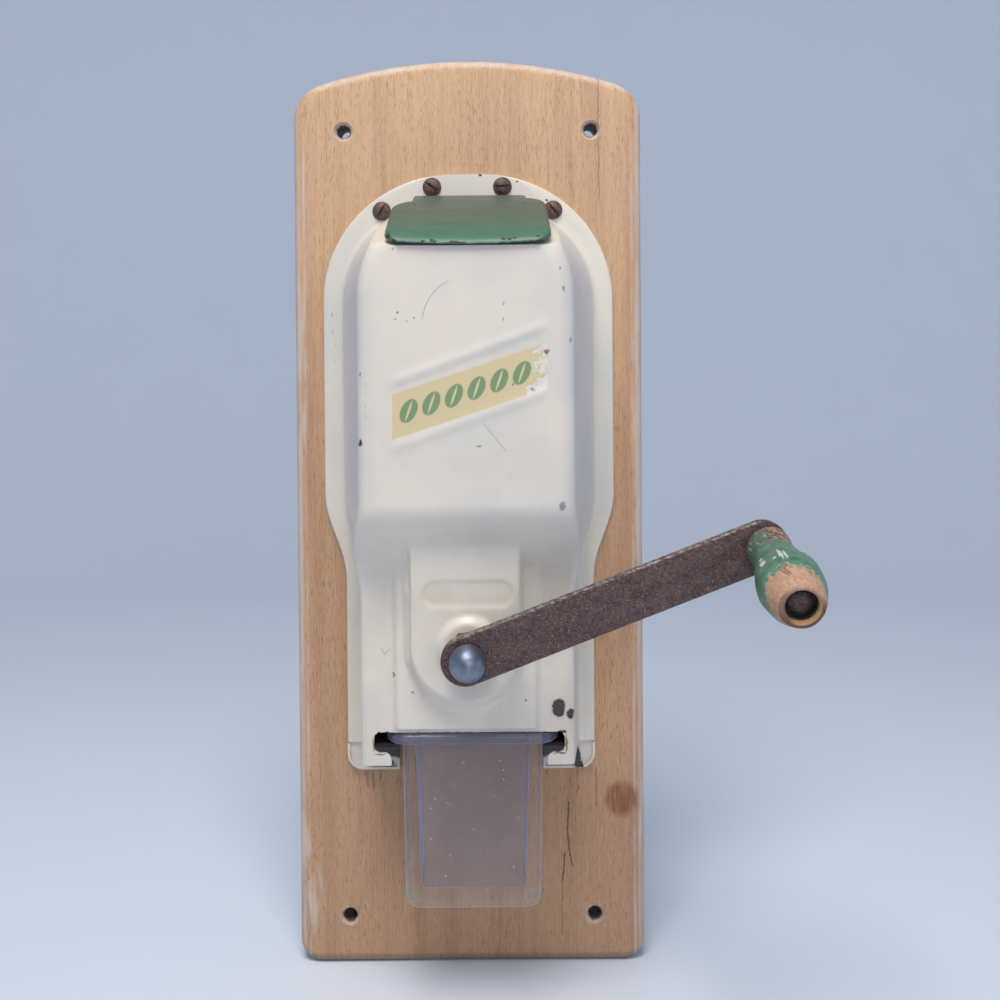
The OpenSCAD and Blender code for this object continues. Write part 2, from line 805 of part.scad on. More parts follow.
module stadium(half, r, h) {
  translate([r - half, -r, 0])
    cube([2 * (half - r), 2 * r, h]);
  mirrored()
    translate([half - r, 0, 0])
      cylinder(r = r, h = h);
}

// Inverted T through the face: the rim's slot above, the way for the body between the lips below
module cup_slot() {
  mid_z = slot_top_z - slot_h / 2;
  out = chest_out / 2;
  translate([0, mid_z, board_t + out])
    linear_extrude(chest_out)
      polygon(round_rect(slot_half, slot_h / 2, slot_r));
  translate([-lip_gap_half, flange_foot_z - past, board_t + out])
    cube([2 * lip_gap_half, mid_z - flange_foot_z + past, chest_out]);
}

// Way for the beans, straight down through the shoulder
module bean_mouth() {
  translate([0, spring_z, board_t + (mouth_back_out + mouth_front_out) / 2])
    rotate([-90, 0, 0])
      linear_extrude(flange_rise)
        polygon(round_rect(mouth_half, (mouth_front_out - mouth_back_out) / 2, mouth_r));
}

module at_leaf_rivets() {
  at = on_slope(leaf_rivet_u, -knuckle_lift);
  mirrored()
    translate([leaf_rivet_x, at.x, at.y])
      rotate([shoulder_angle - 90, 0, 0])
        children();
}

module front_shell() {
  color(cream)
    from_wall()
      difference() {
        union() {
          loft(concat(
            [foot_row()],
            [for (z = shell_rows) [for (p = section(z, shell_t)) [p.x, z, board_t + p.y]]]
          ), hollow = true);
          on_shaft(shield_out - shell_t / 2)
            cylinder(r1 = boss_r, r2 = boss_r - 1, h = boss_h + shell_t / 2);
          slanted_ribs();
        }
        on_shaft(shield_inner_out - past)
          cylinder(r = bush_r + fixed_gap, h = boss_h + shell_t + 2 * past);
        translate([0, recess_z, board_t + shield_out - recess_depth])
          stadium(recess_half, recess_r, shield_raise);
        cup_slot();
        bean_mouth();
        at_flange_screws()
          ahead(0)
            cylinder(r = screw_r + fixed_gap, h = flange_out + past);
        at_leaf_rivets()
          translate([0, 0, -3 * shell_t])
            cylinder(r = rivet_r + fixed_gap, h = 5 * shell_t);
      }
}

plate_rows = concat(
  [for (i = [0:8]) mix(neck_foot_z, neck_top_z, i / 8)],
  [for (a = [0:6:90]) spring_z + flange_rise * sin(a)]
);

module plate_outline() {
  half = flange_foot_w / 2;
  right = concat(
    arc([half - plate_foot_r, plate_foot_z + plate_foot_r], plate_foot_r, -90, 0, 6),
    [for (z = plate_rows) [flange_half(z), z]]
  );
  difference() {
    polygon(concat(right, [for (i = [len(right) - 1:-1:0]) [-right[i].x, right[i].y]]));
    translate([-lip_gap_half, plate_foot_z - past])
      square([2 * lip_gap_half, cup_top_z + slot_r + past - plate_foot_z]);
  }
}

module back_plate() {
  rim_top_z = flange_foot_z - passing_gap;
  color(cream)
    from_wall()
      difference() {
        union() {
          ahead(0)
            linear_extrude(plate_t)
              plate_outline();
          ahead(0)
            linear_extrude(flange_out)
              intersection() {
                difference() {
                  plate_outline();
                  offset(delta = -plate_t)
                    plate_outline();
                }
                translate([-flange_w, plate_foot_z - past])
                  square([2 * flange_w, rim_top_z - plate_foot_z + past]);
              }
        }
        ahead(-past) {
          at_flange_screws()
            cylinder(r = screw_r + fixed_gap, h = plate_t + 2 * past);
          at_housing_screws()
            cylinder(r = lug_screw_r + fixed_gap, h = plate_t + 2 * past);
          at_rail_rivets()
            cylinder(r = rivet_r + fixed_gap, h = plate_t + 2 * past);
          at_funnel_rivets()
            cylinder(r = rivet_r + fixed_gap, h = plate_t + 2 * past);
        }
      }
}

// Round-headed slotted wood screw, standing on its head's seat
module wood_screw(r, l, head_r, head_h) {
  slot_w = head_r * 0.28;
  tip = r * 2;
  difference() {
    round_head(head_r, head_h);
    translate([-head_r, -slot_w / 2, head_h * 0.6])
      cube([2 * head_r, slot_w, head_h]);
  }
  translate([0, 0, tip - l])
    cylinder(r = r, h = l - tip + joined);
  translate([0, 0, -l])
    cylinder(r1 = r * 0.2, r2 = r, h = tip);
}

module flange_screws() {
  color(steel)
    from_wall()
      at_flange_screws()
        ahead(flange_out)
          wood_screw(screw_r, screw_l - passing_gap, screw_head_r, screw_head_h);
}

// Lid and hinge

lid_front = (lip_out - hinge_out - lid_over * sin(shoulder_angle)) / cos(shoulder_angle);
lid_reach = (lip_out - hinge_out) * cos(shoulder_angle) + (hinge_z - lid_lip_z) * sin(shoulder_angle)
  + passing_gap;
bend_angle = 90 - shoulder_angle;
bend_at = lid_front - lid_bend_r * tan(bend_angle / 2);

// Side view of the lid's outer or inner skin, drawn in by t
function lid_side(t, back, low) =
  let (
    mid = on_slope(bend_at, lid_over - lid_bend_r),
    bend = [
      for (i = [0:6])
        let (a = mix(shoulder_angle, 90, i / 6))
          mid + (lid_bend_r - t) * [cos(a), sin(a)]
    ]
  )
    concat(
      [on_slope(back, lid_over - t)],
      bend,
      [[lid_lip_z - t, board_t + lip_out - t], [lid_lip_z - t, board_t + lip_out - lid_bend_r]],
      [on_slope(bend_at - lid_bend_r, low), on_slope(back, low)]
    );

// Plan of the lid along the shoulder, with the tongue at the hinge, drawn in by e
function lid_plan(e, back) =
  let (
    half = lid_w / 2 - e,
    corner = lid_corner_r - e,
    rear = tongue_l + lid_shoulder_r,
    shoulder = lid_shoulder_r - e,
    right = concat(
      arc([half - corner, e + corner - lid_reach], corner, -90, 0, 6),
      arc([half - shoulder, -rear], shoulder, 0, 60, 6),
      [[tongue_w / 2 - e, -tongue_l - e], [tongue_w / 2 - e, back]]
    )
  )
    concat(right, [for (i = [len(right) - 1:-1:0]) [-right[i].x, right[i].y]]);

module lid_block(t, back, low) {
  intersection() {
    across(lid_w, lid_side(t, -back, low));
    translate([0, hinge_z, board_t + hinge_out])
      rotate([shoulder_angle - 90, 0, 0])
        translate([0, 0, -lid_w])
          linear_extrude(2 * lid_w)
            polygon(lid_plan(t, back));
  }
}

module along_hinge(from, to, r) {
  translate([from, hinge_z, board_t + hinge_out])
    rotate([0, 90, 0])
      cylinder(r = r, h = to - from);
}

module lid() {
  curl = [
    on_slope(-knuckle_r, 0), on_slope(-hinge_pin_r, 0), on_slope(-hinge_pin_r, lid_over - lid_t / 2),
    on_slope(-knuckle_r, lid_over - lid_t / 2)
  ];
  color("#6f8f80")
    from_wall()
      difference() {
        union() {
          difference() {
            lid_block(0, knuckle_r, lid_under - lid_skirt);
            lid_block(lid_t, knuckle_r + past, -lid_w);
          }
          across(knuckle_half, curl);
          along_hinge(-knuckle_half, knuckle_half, knuckle_r);
        }
        along_hinge(-knuckle_half - past, knuckle_half + past, hinge_pin_r + running_gap);
      }
}

module hinge_leaf() {
  low = fixed_gap - knuckle_lift;
  ear = knuckle_half + passing_gap;
  notch = knuckle_r + passing_gap;
  web = leaf_t / 2;
  strip = [
    on_slope(notch, low), on_slope(leaf_l, low), on_slope(leaf_l, low + leaf_t), on_slope(notch, low + leaf_t)
  ];
  arm = [
    on_slope(-web, low), on_slope(notch + past, low), on_slope(notch + past, low + leaf_t),
    on_slope(web, 0), on_slope(-web, 0)
  ];
  color(cream)
    from_wall()
      difference() {
        union() {
          across(leaf_half, strip);
          mirrored()
            translate([(ear + leaf_half) / 2, 0, 0])
              across((leaf_half - ear) / 2, arm);
          along_hinge(ear, leaf_half, knuckle_r);
          along_hinge(-leaf_half, -ear, knuckle_r);
        }
        along_hinge(-leaf_half - past, leaf_half + past, hinge_pin_r + fixed_gap);
        at_leaf_rivets()
          translate([0, 0, -past])
            cylinder(r = rivet_r + fixed_gap, h = leaf_t + 2 * past);
      }
}

module hinge_pin() {
  color(steel)
    from_wall()
      along_hinge(-leaf_half, leaf_half, hinge_pin_r);
}

// Rivet through sheets of a total thickness, standing on its seat
module rivet(grip) {
  round_head(rivet_head_r, rivet_head_h);
  translate([0, 0, -grip])
    cylinder(r = rivet_r, h = grip + joined);
}

module leaf_rivets() {
  color(steel)
    from_wall()
      at_leaf_rivets()
        translate([0, 0, leaf_t + fixed_gap])
          rivet(leaf_t + 1.5 * shell_t);
}

// Grinder

funnel_top_z = step_top_z + funnel_rise;
funnel_foot_z = shaft_z + housing_r + passing_gap;
inlet_bend_out = mix(inlet_back_out, housing_inner_out, 0.6);
inlet_corner = funnel_corner_x / 2;
funnel_foot = [
  [-inlet_half, inlet_back_out], [inlet_half, inlet_back_out],
  [inlet_half, inlet_bend_out], [inlet_half - inlet_corner, housing_inner_out],
  [inlet_corner - inlet_half, housing_inner_out], [-inlet_half, inlet_bend_out]
];
funnel_side = wall_half(funnel_top_z) - shell_t;
funnel_front_out = hopper_out - shell_t - funnel_front_gap;
funnel_bend_out = funnel_front_out - funnel_corner_out;
funnel_mid = funnel_side - (funnel_bend_out - flange_out) * hopper_draft - funnel_side_gap;
funnel_top = [
  [funnel_foot_gap - funnel_side, plate_t], [funnel_side - funnel_foot_gap, plate_t],
  [funnel_mid, funnel_bend_out], [funnel_mid - funnel_corner_x, funnel_front_out],
  [funnel_corner_x - funnel_mid, funnel_front_out], [-funnel_mid, funnel_bend_out]
];

function funnel_ring(points, z) = [for (p = points) [p.x, z, board_t + p.y]];

function shrunk(points, mid, e) = [
  for (p = points) [p.x - sign(p.x) * e, p.y - sign(p.y - mid) * e]
];

module at_funnel_rivets() {
  for (side = [-1, 1])
    translate([side * (strap_half - strap_rivet_in), funnel_top_z + strap_h / 2, 0])
      children();
}

module hopper_funnel() {
  mid = (inlet_back_out + housing_inner_out) / 2;
  color(steel)
    from_wall()
      difference() {
        union() {
          loft([funnel_ring(funnel_top, funnel_top_z), funnel_ring(funnel_foot, funnel_foot_z)]);
          translate([-strap_half, funnel_top_z - funnel_t, board_t + plate_t])
            cube([2 * strap_half, strap_h + funnel_t, funnel_t]);
        }
        loft([
          funnel_ring(shrunk(funnel_top, mid, funnel_t), funnel_top_z + joined),
          funnel_ring(shrunk(funnel_foot, mid, funnel_t), funnel_foot_z - joined)
        ]);
        at_funnel_rivets()
          ahead(plate_t - past)
            cylinder(r = rivet_r + fixed_gap, h = funnel_t + 2 * past);
      }
}

module funnel_rivets() {
  color(steel)
    from_wall()
      at_funnel_rivets()
        ahead(plate_t + funnel_t)
          rivet(plate_t + funnel_t - fixed_gap);
}

module burr_housing() {
  nose_out = shield_inner_out - bush_flange_t - passing_gap;
  color(iron)
    from_wall()
      difference() {
        union() {
          on_shaft(barrel_out)
            cylinder(r = housing_r, h = housing_front_out - barrel_out);
          on_shaft(housing_inner_out)
            cylinder(r = bush_flange_r, h = nose_out - housing_inner_out);
          mirrored()
            translate([housing_r - lug_root, shaft_z - lug_half_h, board_t + plate_t])
              cube([lug_half - housing_r + lug_root, 2 * lug_half_h, lug_t + ring_in]);
          translate([-housing_r, shaft_z - bar_h / 2, board_t + plate_t])
            cube([2 * housing_r, bar_h, bar_t]);
        }
        on_shaft(plate_t + bar_t)
          cylinder(r = ring_r + fixed_gap, h = ring_front_out - plate_t - bar_t);
        on_shaft(ring_front_out - past)
          cylinder(r = barrel_r, h = housing_inner_out - ring_front_out + past);
        on_shaft(plate_t - past)
          cylinder(r = bush_r + fixed_gap, h = shield_out);
        translate([-inlet_half + funnel_t, shaft_z, board_t + inlet_back_out])
          cube([2 * (inlet_half - funnel_t), housing_r + past, housing_inner_out - inlet_back_out]);
        for (side = [-1, 1])
          translate([0, shaft_z + side * (bar_h / 2 + housing_r), board_t + plate_t + lug_t / 2])
            cube([2 * ring_r, 2 * housing_r, lug_t + 2 * past], center = true);
        at_housing_screws() {
          ahead(plate_t - past)
            cylinder(r = lug_screw_r + fixed_gap, h = lug_t + ring_in + 2 * past);
          ahead(barrel_out)
            cylinder(r = lug_head_r + passing_gap, h = housing_front_out);
        }
      }
}

module housing_screws() {
  color(steel)
    from_wall()
      at_housing_screws()
        ahead(barrel_out)
          wood_screw(lug_screw_r, lug_screw_l - passing_gap, lug_head_r, lug_head_h);
}

module ring_burr() {
  color(iron)
    from_wall()
      on_shaft(ring_out)
        difference() {
          cylinder(r = ring_r, h = ring_l);
          translate([0, 0, -joined])
            cylinder(r1 = ring_outlet_r, r2 = ring_inlet_r, h = ring_l + 2 * joined);
          for (i = [0:ring_teeth - 1])
            rotate([0, 0, i * 360 / ring_teeth])
              translate([ring_outlet_r, 0, 0])
                rotate([0, -atan(burr_slope), 0])
                  translate([-tooth_depth, -ring_groove / 2, -past])
                    cube([2 * tooth_depth, ring_groove, ring_l + 3 * past]);
        }
}

// Radius of the cone burr at a distance from the board, a gap inside the ring burr
function cone_r(out) = ring_outlet_r - burr_gap - (out - ring_out) * burr_slope;

module cone_burr() {
  color(iron)
    from_wall()
      difference() {
        union() {
          on_shaft(cone_out)
            cylinder(r1 = cone_r(cone_out), r2 = cone_r(ring_front_out), h = ring_front_out - cone_out);
          on_shaft(ring_front_out)
            cylinder(r1 = cone_r(ring_front_out), r2 = cone_nose_r, h = cone_front_out - ring_front_out);
        }
        on_shaft(cone_out - past)
          cylinder(r = shaft_r + fixed_gap, h = cone_front_out);
        for (i = [0:cone_teeth - 1])
          on_shaft(cone_out)
            rotate([0, 0, i * 360 / cone_teeth])
              translate([cone_r(cone_out), 0, 0])
                rotate([0, -atan(burr_slope), 0])
                  translate([-tooth_depth, -cone_groove / 2, -past])
                    cube([2 * tooth_depth, cone_groove, ring_l + 3 * past]);
        burr_pin_hole(fixed_gap);
      }
}

module burr_pin_hole(gap) {
  translate([-burr_pin_half - gap, shaft_z, board_t + burr_pin_out])
    rotate([0, 90, 0])
      cylinder(r = burr_pin_r + gap, h = 2 * (burr_pin_half + gap));
}

module burr_pin() {
  color(steel)
    from_wall()
      burr_pin_hole(0);
}

module drive_shaft() {
  color(steel)
    from_wall()
      difference() {
        union() {
          on_shaft(shaft_back_out)
            cylinder(r = shaft_r, h = arm_out - shaft_back_out);
          on_shaft(arm_out - past)
            translate([-square_w / 2, -square_w / 2, 0])
              cube([square_w, square_w, arm_t + past]);
          on_shaft(arm_front_out - past)
            cylinder(r = thread_r, h = shaft_front_out - arm_front_out + past);
        }
        burr_pin_hole(fixed_gap);
      }
}

module front_bush() {
  back = housing_inner_out + passing_gap;
  flange = shield_inner_out - bush_flange_t - fixed_gap;
  color(brass)
    from_wall()
      difference() {
        union() {
          on_shaft(back)
            cylinder(r = bush_r, h = bush_front_out - back);
          on_shaft(flange)
            cylinder(r = bush_flange_r, h = bush_flange_t);
        }
        on_shaft(back - past)
          cylinder(r = shaft_r + running_gap, h = bush_front_out - back + 2 * past);
      }
}

module rear_bush() {
  color(brass)
    from_wall()
      on_shaft(plate_t)
        tube(bush_r, shaft_r + running_gap, bar_t);
}

// Conical disc spring on the inner face of the housing's front wall
module thrust_spring() {
  hole = shaft_r + passing_gap;
  color(steel)
    from_wall()
      on_shaft(housing_inner_out)
        rotate_extrude()
          polygon([
            [spring_r, -spring_t], [spring_r, 0], [spring_r - spring_t, 0], [hole, spring_t - spring_h],
            [hole, -spring_h]
          ]);
}

module bush_nut() {
  color(steel)
    from_wall()
      on_shaft(boss_out)
        difference() {
          cylinder(r = bush_nut_r, h = bush_nut_h, $fn = 6);
          translate([0, 0, -past])
            cylinder(r = bush_r + fixed_gap, h = bush_nut_h + 2 * past);
        }
}

// Crank

module adjusting_nut() {
  color(steel)
    from_wall()
      on_shaft(adjust_out)
        difference() {
          cylinder(r = adjust_r, h = adjust_h - fixed_gap);
          translate([0, 0, -past])
            cylinder(r = bush_r + running_gap, h = adjust_h + 2 * past);
          for (a = [15:30:345])
            rotate([0, 0, a])
              translate([adjust_r + adjust_notch_r / 2, 0, -past])
                cylinder(r = adjust_notch_r, h = adjust_h + 2 * past, $fn = 16);
        }
}

module thrust_washer() {
  color(brass)
    from_wall()
      on_shaft(thrust_out)
        tube(thrust_r, shaft_r + running_gap, thrust_t - fixed_gap);
}

// Stands at the pin's seat on the front of the arm, along the leaning pin
module on_knob_pin() {
  on_shaft(arm_front_out)
    translate([crank_l * cos(crank_angle), crank_l * sin(crank_angle), 0])
      rotate([knob_lean, 0, 0])
        children();
}

module crank_arm() {
  hole = square_w + 2 * fixed_gap;
  color(steel)
    from_wall()
      difference() {
        on_shaft(arm_out)
          rotate([0, 0, crank_angle]) {
            cylinder(d = arm_w, h = arm_t);
            translate([crank_l, 0, 0])
              cylinder(d = arm_w, h = arm_t);
            translate([0, -arm_w / 2, 0])
              cube([crank_l, arm_w, arm_t]);
          }
        on_shaft(arm_out - past)
          translate([-hole / 2, -hole / 2, 0])
            cube([hole, hole, arm_t + 2 * past]);
        on_knob_pin()
          translate([0, 0, -2 * arm_t])
            cylinder(r = knob_pin_r + fixed_gap, h = 4 * arm_t);
      }
}

module lock_washer() {
  color(steel)
    from_wall()
      on_shaft(arm_front_out)
        tube(lock_r, thread_r + fixed_gap, lock_t);
}

module dome_nut() {
  rim = dome_h - dome_r;
  color("#77717a")
    from_wall()
      on_shaft(dome_out)
        difference() {
          union() {
            cylinder(r = dome_r, h = rim);
            translate([0, 0, rim])
              intersection() {
                sphere(r = dome_r);
                translate([-dome_r, -dome_r, 0])
                  cube(2 * dome_r);
              }
          }
          translate([0, 0, -past])
            cylinder(r = thread_r + fixed_gap, h = shaft_front_out - dome_out + past + fixed_gap);
        }
}

module knob_pin() {
  color(steel)
    from_wall()
      difference() {
        on_knob_pin() {
          translate([0, 0, -2 * arm_t])
            cylinder(r = knob_pin_r, h = pin_end + 2 * arm_t + fixed_gap + joined);
          translate([0, 0, pin_end + fixed_gap])
            round_head(pin_head_r, pin_head_h);
        }
        on_shaft(arm_out - 4 * arm_t)
          cylinder(r = 2 * crank_l, h = 4 * arm_t);
      }
}

// Radius of the knob along its length, from the collar to the end
function knob_r(s) = s < neck_at
  ? mix(collar_r, neck_r, ease(s, collar_l, neck_at))
  : s < belly_at
  ? mix(neck_r, belly_r, ease(s, neck_at, belly_at))
  : end_r + (belly_r - end_r) * (1 - pow((s - belly_at) / (knob_l - belly_at), 2));

module crank_knob() {
  steps = 30;
  color("#6f8d82")
    from_wall()
      on_knob_pin()
        translate([0, 0, knob_gap])
          difference() {
            rotate_extrude()
              polygon(concat(
                [[0, 0]],
                [for (i = [0:steps]) [knob_r(knob_l * i / steps), knob_l * i / steps]],
                [[0, knob_l]]
              ));
            translate([0, 0, -past])
              cylinder(r = knob_pin_r + running_gap, h = knob_l);
            translate([0, 0, knob_l - sink_depth])
              cylinder(r = sink_r, h = sink_depth + past);
          }
}

// Cup and its rails

module at_rail_rivets() {
  for (side = [-1, 1], up = [0.3, 0.75])
    translate([side * rail_foot_x, rail_z - rail_foot_h * up, 0])
      children();
}

// Right-hand rail: a shelf under the cup's rim, with a foot on the back plate
module rail() {
  from_wall()
    difference() {
      union() {
        translate([rail_half, rail_z, board_t + plate_t])
          cube([rail_w, rail_t, rail_front_out - plate_t]);
        translate([rail_half + rail_foot_in, rail_z - rail_foot_h, board_t + plate_t])
          cube([rail_w - rail_foot_in, rail_foot_h + rail_t, rail_t]);
      }
      at_rail_rivets()
        ahead(plate_t - past)
          cylinder(r = rivet_r + fixed_gap, h = rail_t + 2 * past);
    }
}

module cup_rail_right() {
  color(steel)
    rail();
}

module cup_rail_left() {
  color(steel)
    mirror([1, 0, 0])
      rail();
}

module rail_rivets() {
  color(steel)
    from_wall()
      at_rail_rivets()
        ahead(plate_t + rail_t)
          rivet(plate_t + rail_t - fixed_gap);
}

function cup_ring(z, half, depth, r) = level(round_rect(half, depth, r), z);

module coffee_cup() {
  depth = cup_depth / 2;
  foot = cup_half - cup_taper;
  inner = cup_half - cup_wall;
  inner_depth = depth - cup_wall;
  inner_foot = foot - cup_wall - cup_wall_more;
  inner_foot_depth = depth - cup_taper - cup_wall - cup_wall_more;
  body_h = cup_h - rim_t;
  rim_r = rim_t / 2;
  rim_depth = depth + rim_lip;
  rim_corner = cup_corner_r + rim_lip;
  color("#8a8480", 0.5)
    translate([cup_shift, -board_t - cup_mid_out, cup_top_z - cup_h])
      difference() {
        union() {
          loft(concat(
            [
              for (a = [0:30:90])
                let (e = cup_foot_r * (1 - sin(a)))
                  cup_ring(cup_foot_r * (1 - cos(a)), foot - e, depth - cup_taper - e, cup_corner_r - e)
            ],
            [cup_ring(body_h + rim_r, cup_half, depth, cup_corner_r)]
          ));
          translate([0, 0, body_h])
            loft([
              for (a = [-60:30:60])
                let (e = rim_r * (1 - cos(a)))
                  cup_ring(rim_r * (1 + sin(a) / sin(60)), rim_half - e, rim_depth - e, rim_corner - e)
            ]);
        }
        loft([
          cup_ring(cup_floor, inner_foot, inner_foot_depth, cup_inner_r),
          cup_ring(cup_h + joined, inner, inner_depth, cup_inner_r)
        ]);
      }
}

backing_board();
back_plate();
front_shell();
flange_screws();
lid();
hinge_leaf();
hinge_pin();
leaf_rivets();
hopper_funnel();
funnel_rivets();
burr_housing();
housing_screws();
ring_burr();
cone_burr();
burr_pin();
drive_shaft();
front_bush();
rear_bush();
thrust_spring();
bush_nut();
adjusting_nut();
thrust_washer();
crank_arm();
lock_washer();
dome_nut();
knob_pin();
crank_knob();
cup_rail_left();
cup_rail_right();
rail_rivets();
coffee_cup();
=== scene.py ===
import math

import bmesh
import bpy
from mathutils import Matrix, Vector, noise


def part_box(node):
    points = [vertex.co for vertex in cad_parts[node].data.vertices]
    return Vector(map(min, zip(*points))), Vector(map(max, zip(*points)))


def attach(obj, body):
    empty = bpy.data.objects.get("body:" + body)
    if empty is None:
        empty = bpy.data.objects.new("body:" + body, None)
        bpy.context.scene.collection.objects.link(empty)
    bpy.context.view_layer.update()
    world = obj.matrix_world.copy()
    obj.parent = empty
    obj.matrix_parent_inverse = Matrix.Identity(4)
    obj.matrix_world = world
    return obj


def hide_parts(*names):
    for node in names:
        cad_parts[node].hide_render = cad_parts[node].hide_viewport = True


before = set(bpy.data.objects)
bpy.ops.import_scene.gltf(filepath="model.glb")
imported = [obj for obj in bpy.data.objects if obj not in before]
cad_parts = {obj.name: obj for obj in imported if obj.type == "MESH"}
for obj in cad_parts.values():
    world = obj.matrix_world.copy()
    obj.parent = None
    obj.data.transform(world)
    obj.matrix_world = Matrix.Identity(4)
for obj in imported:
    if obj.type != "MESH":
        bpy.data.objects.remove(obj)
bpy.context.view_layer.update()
print("frame loaded:", len(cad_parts), "nodes")

# Lengths are in mm until a mesh is made. x runs right, z up, and out is the distance in front of the board.
boardFront = 18

# without a seed, the noise of the chipped edges would start from the clock and change from run to run
chippedSeed = 5
noise.seed_set(chippedSeed)


# Small sums

def clamp(v):
    return max(0.0, min(1.0, v))


def ramp(v, a, b):
    return clamp((v - a) / (b - a))


def ease(v, a, b):
    return (1 - math.cos(math.pi * ramp(v, a, b))) / 2


def mix(a, b, s):
    return a + (b - a) * s


def softMin(a, b, k):
    return min(a, b) - max(k - abs(a - b), 0) ** 2 / (4 * k)


def softMax(a, b, k):
    return max(a, b) + max(k - abs(a - b), 0) ** 2 / (4 * k)


def cosSin(degrees):
    turn = math.radians(degrees)
    return math.cos(turn), math.sin(turn)


def arc(x, y, r, start, end, steps):
    turns = [cosSin(mix(start, end, i / steps)) for i in range(steps + 1)]
    return [(x + r * c, y + r * s) for c, s in turns]


def roundRect(hx, hy, r, steps=6):
    corners = [(hx - r, hy - r), (r - hx, hy - r), (r - hx, r - hy), (hx - r, r - hy)]
    return [p for i, (x, y) in enumerate(corners) for p in arc(x, y, r, 90 * i, 90 * i + 90, steps)]


def mirrored(right):
    # right half of an outline, from its foot to its crown, with the left half added
    return right + [(-x, z) for x, z in reversed(right)]


def onWall(x, z, out):
    return (x, -(boardFront + out), z)


def mostOf(wires):
    found = wires[0]
    for wire in wires[1:]:
        found = found.most(wire)
    return found


def tone(r, g, b):
    # a colour as it is seen on screen, turned linear for the shaders
    def linear(c):
        c = c / 255
        return c / 12.92 if c <= 0.04045 else ((c + 0.055) / 1.055) ** 2.4
    return (linear(r), linear(g), linear(b), 1.0)


# Meshes

def placed(name, data):
    piece = bpy.data.objects.new(name, data)
    bpy.context.scene.collection.objects.link(piece)
    return piece


def smooth(piece, angle=32):
    piece.data.shade_smooth()
    piece.data.set_sharp_from_angle(angle=math.radians(angle))
    return piece


def makePiece(name, points, faces, angle=32):
    mesh = bpy.data.meshes.new(name)
    mesh.from_pydata([[c / 1000 for c in p] for p in points], [], faces)
    shape = bmesh.new()
    shape.from_mesh(mesh)
    bmesh.ops.recalc_face_normals(shape, faces=shape.faces)
    shape.to_mesh(mesh)
    shape.free()
    return smooth(placed(name, mesh), angle)


def loft(rings):
    # closed skin through rings of points, with both ends closed
    n = len(rings[0])
    last = (len(rings) - 1) * n
    faces = [tuple(reversed(range(n))), tuple(range(last, last + n))]
    for k in range(0, last, n):
        faces += [(k + i, k + (i + 1) % n, k + n + (i + 1) % n, k + n + i) for i in range(n)]
    return [p for ring in rings for p in ring], faces


def prism(name, outline, low, high, place=onWall):
    rings = [[place(x, z, out) for x, z in outline] for out in (low, high)]
    return makePiece(name, *loft(rings))


def lathe(name, profile, origin, axis=(0, -1, 0), steps=48, looped=False, wear=0.0, angle=32):
    # profile holds radius and distance along the axis; a radius of 0 closes an end
    along = Vector(axis).normalized()
    side = along.orthogonal().normalized()
    third = along.cross(side)
    points, rings, faces = [], [], []
    for r, h in profile:
        first = len(points)
        count = steps if r > 0 else 1
        rings.append([first + i for i in range(count)])
        for i in range(count):
            a = 2 * math.pi * i / steps
            turned = side * math.cos(a) + third * math.sin(a)
            spot = Vector(origin) + along * h + turned * r
            points.append(spot + turned * wear * noise.noise(spot * 0.16))
    pairs = list(zip(rings, rings[1:]))
    if looped:
        pairs.append((rings[-1], rings[0]))
    for low, high in pairs:
        for i in range(steps):
            j = (i + 1) % steps
            corners = [low[i % len(low)], low[j % len(low)], high[j % len(high)], high[i % len(high)]]
            faces.append(tuple(dict.fromkeys(corners)))
    return makePiece(name, points, faces, angle)


def settle(piece):
    # the shape after its modifiers becomes the mesh
    graph = bpy.context.evaluated_depsgraph_get()
    shaped = bpy.data.meshes.new_from_object(piece.evaluated_get(graph))
    old = piece.data
    piece.modifiers.clear()
    piece.data = shaped
    bpy.data.meshes.remove(old)


def cut(piece, *tools, angle=32):
    for tool in tools:
        knife = piece.modifiers.new("cut", "BOOLEAN")
        knife.object = tool
        knife.operation = "DIFFERENCE"
        knife.solver = "MANIFOLD"
    settle(piece)
    for tool in tools:
        bpy.data.objects.remove(tool)
    return smooth(piece, angle)


def joined(name, pieces, angle=32):
    shape = bmesh.new()
    for piece in pieces:
        shape.from_mesh(piece.data)
        bpy.data.objects.remove(piece)
    mesh = bpy.data.meshes.new(name)
    shape.to_mesh(mesh)
    shape.free()
    return smooth(placed(name, mesh), angle)


def softened(name, node, width, segments=2):
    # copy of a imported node's mesh with its hard edges rounded
    piece = placed(name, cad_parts[node].data.copy())
    shape = bmesh.new()
    shape.from_mesh(piece.data)
    bmesh.ops.remove_doubles(shape, verts=shape.verts, dist=2e-6)
    bmesh.ops.dissolve_limit(shape, angle_limit=math.radians(1), verts=shape.verts, edges=shape.edges)
    shape.to_mesh(piece.data)
    shape.free()
    edge = piece.modifiers.new("edge", "BEVEL")
    edge.width = width / 1000
    edge.segments = segments
    edge.limit_method = "ANGLE"
    edge.angle_limit = math.radians(35)
    settle(piece)
    return smooth(piece, 40)


def fit(piece, body, finish, node):
    piece.data.materials.clear()
    piece.data.materials.append(finish.material)
    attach(piece, body)
    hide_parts(node)


def fitSoftened(name, node, edge, body, finish):
    fit(softened(name, node, edge), body, finish, node)


def dress(finish, *nodes):
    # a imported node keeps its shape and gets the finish
    for node in nodes:
        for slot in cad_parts[node].material_slots:
            slot.material = finish.material


# Finishes

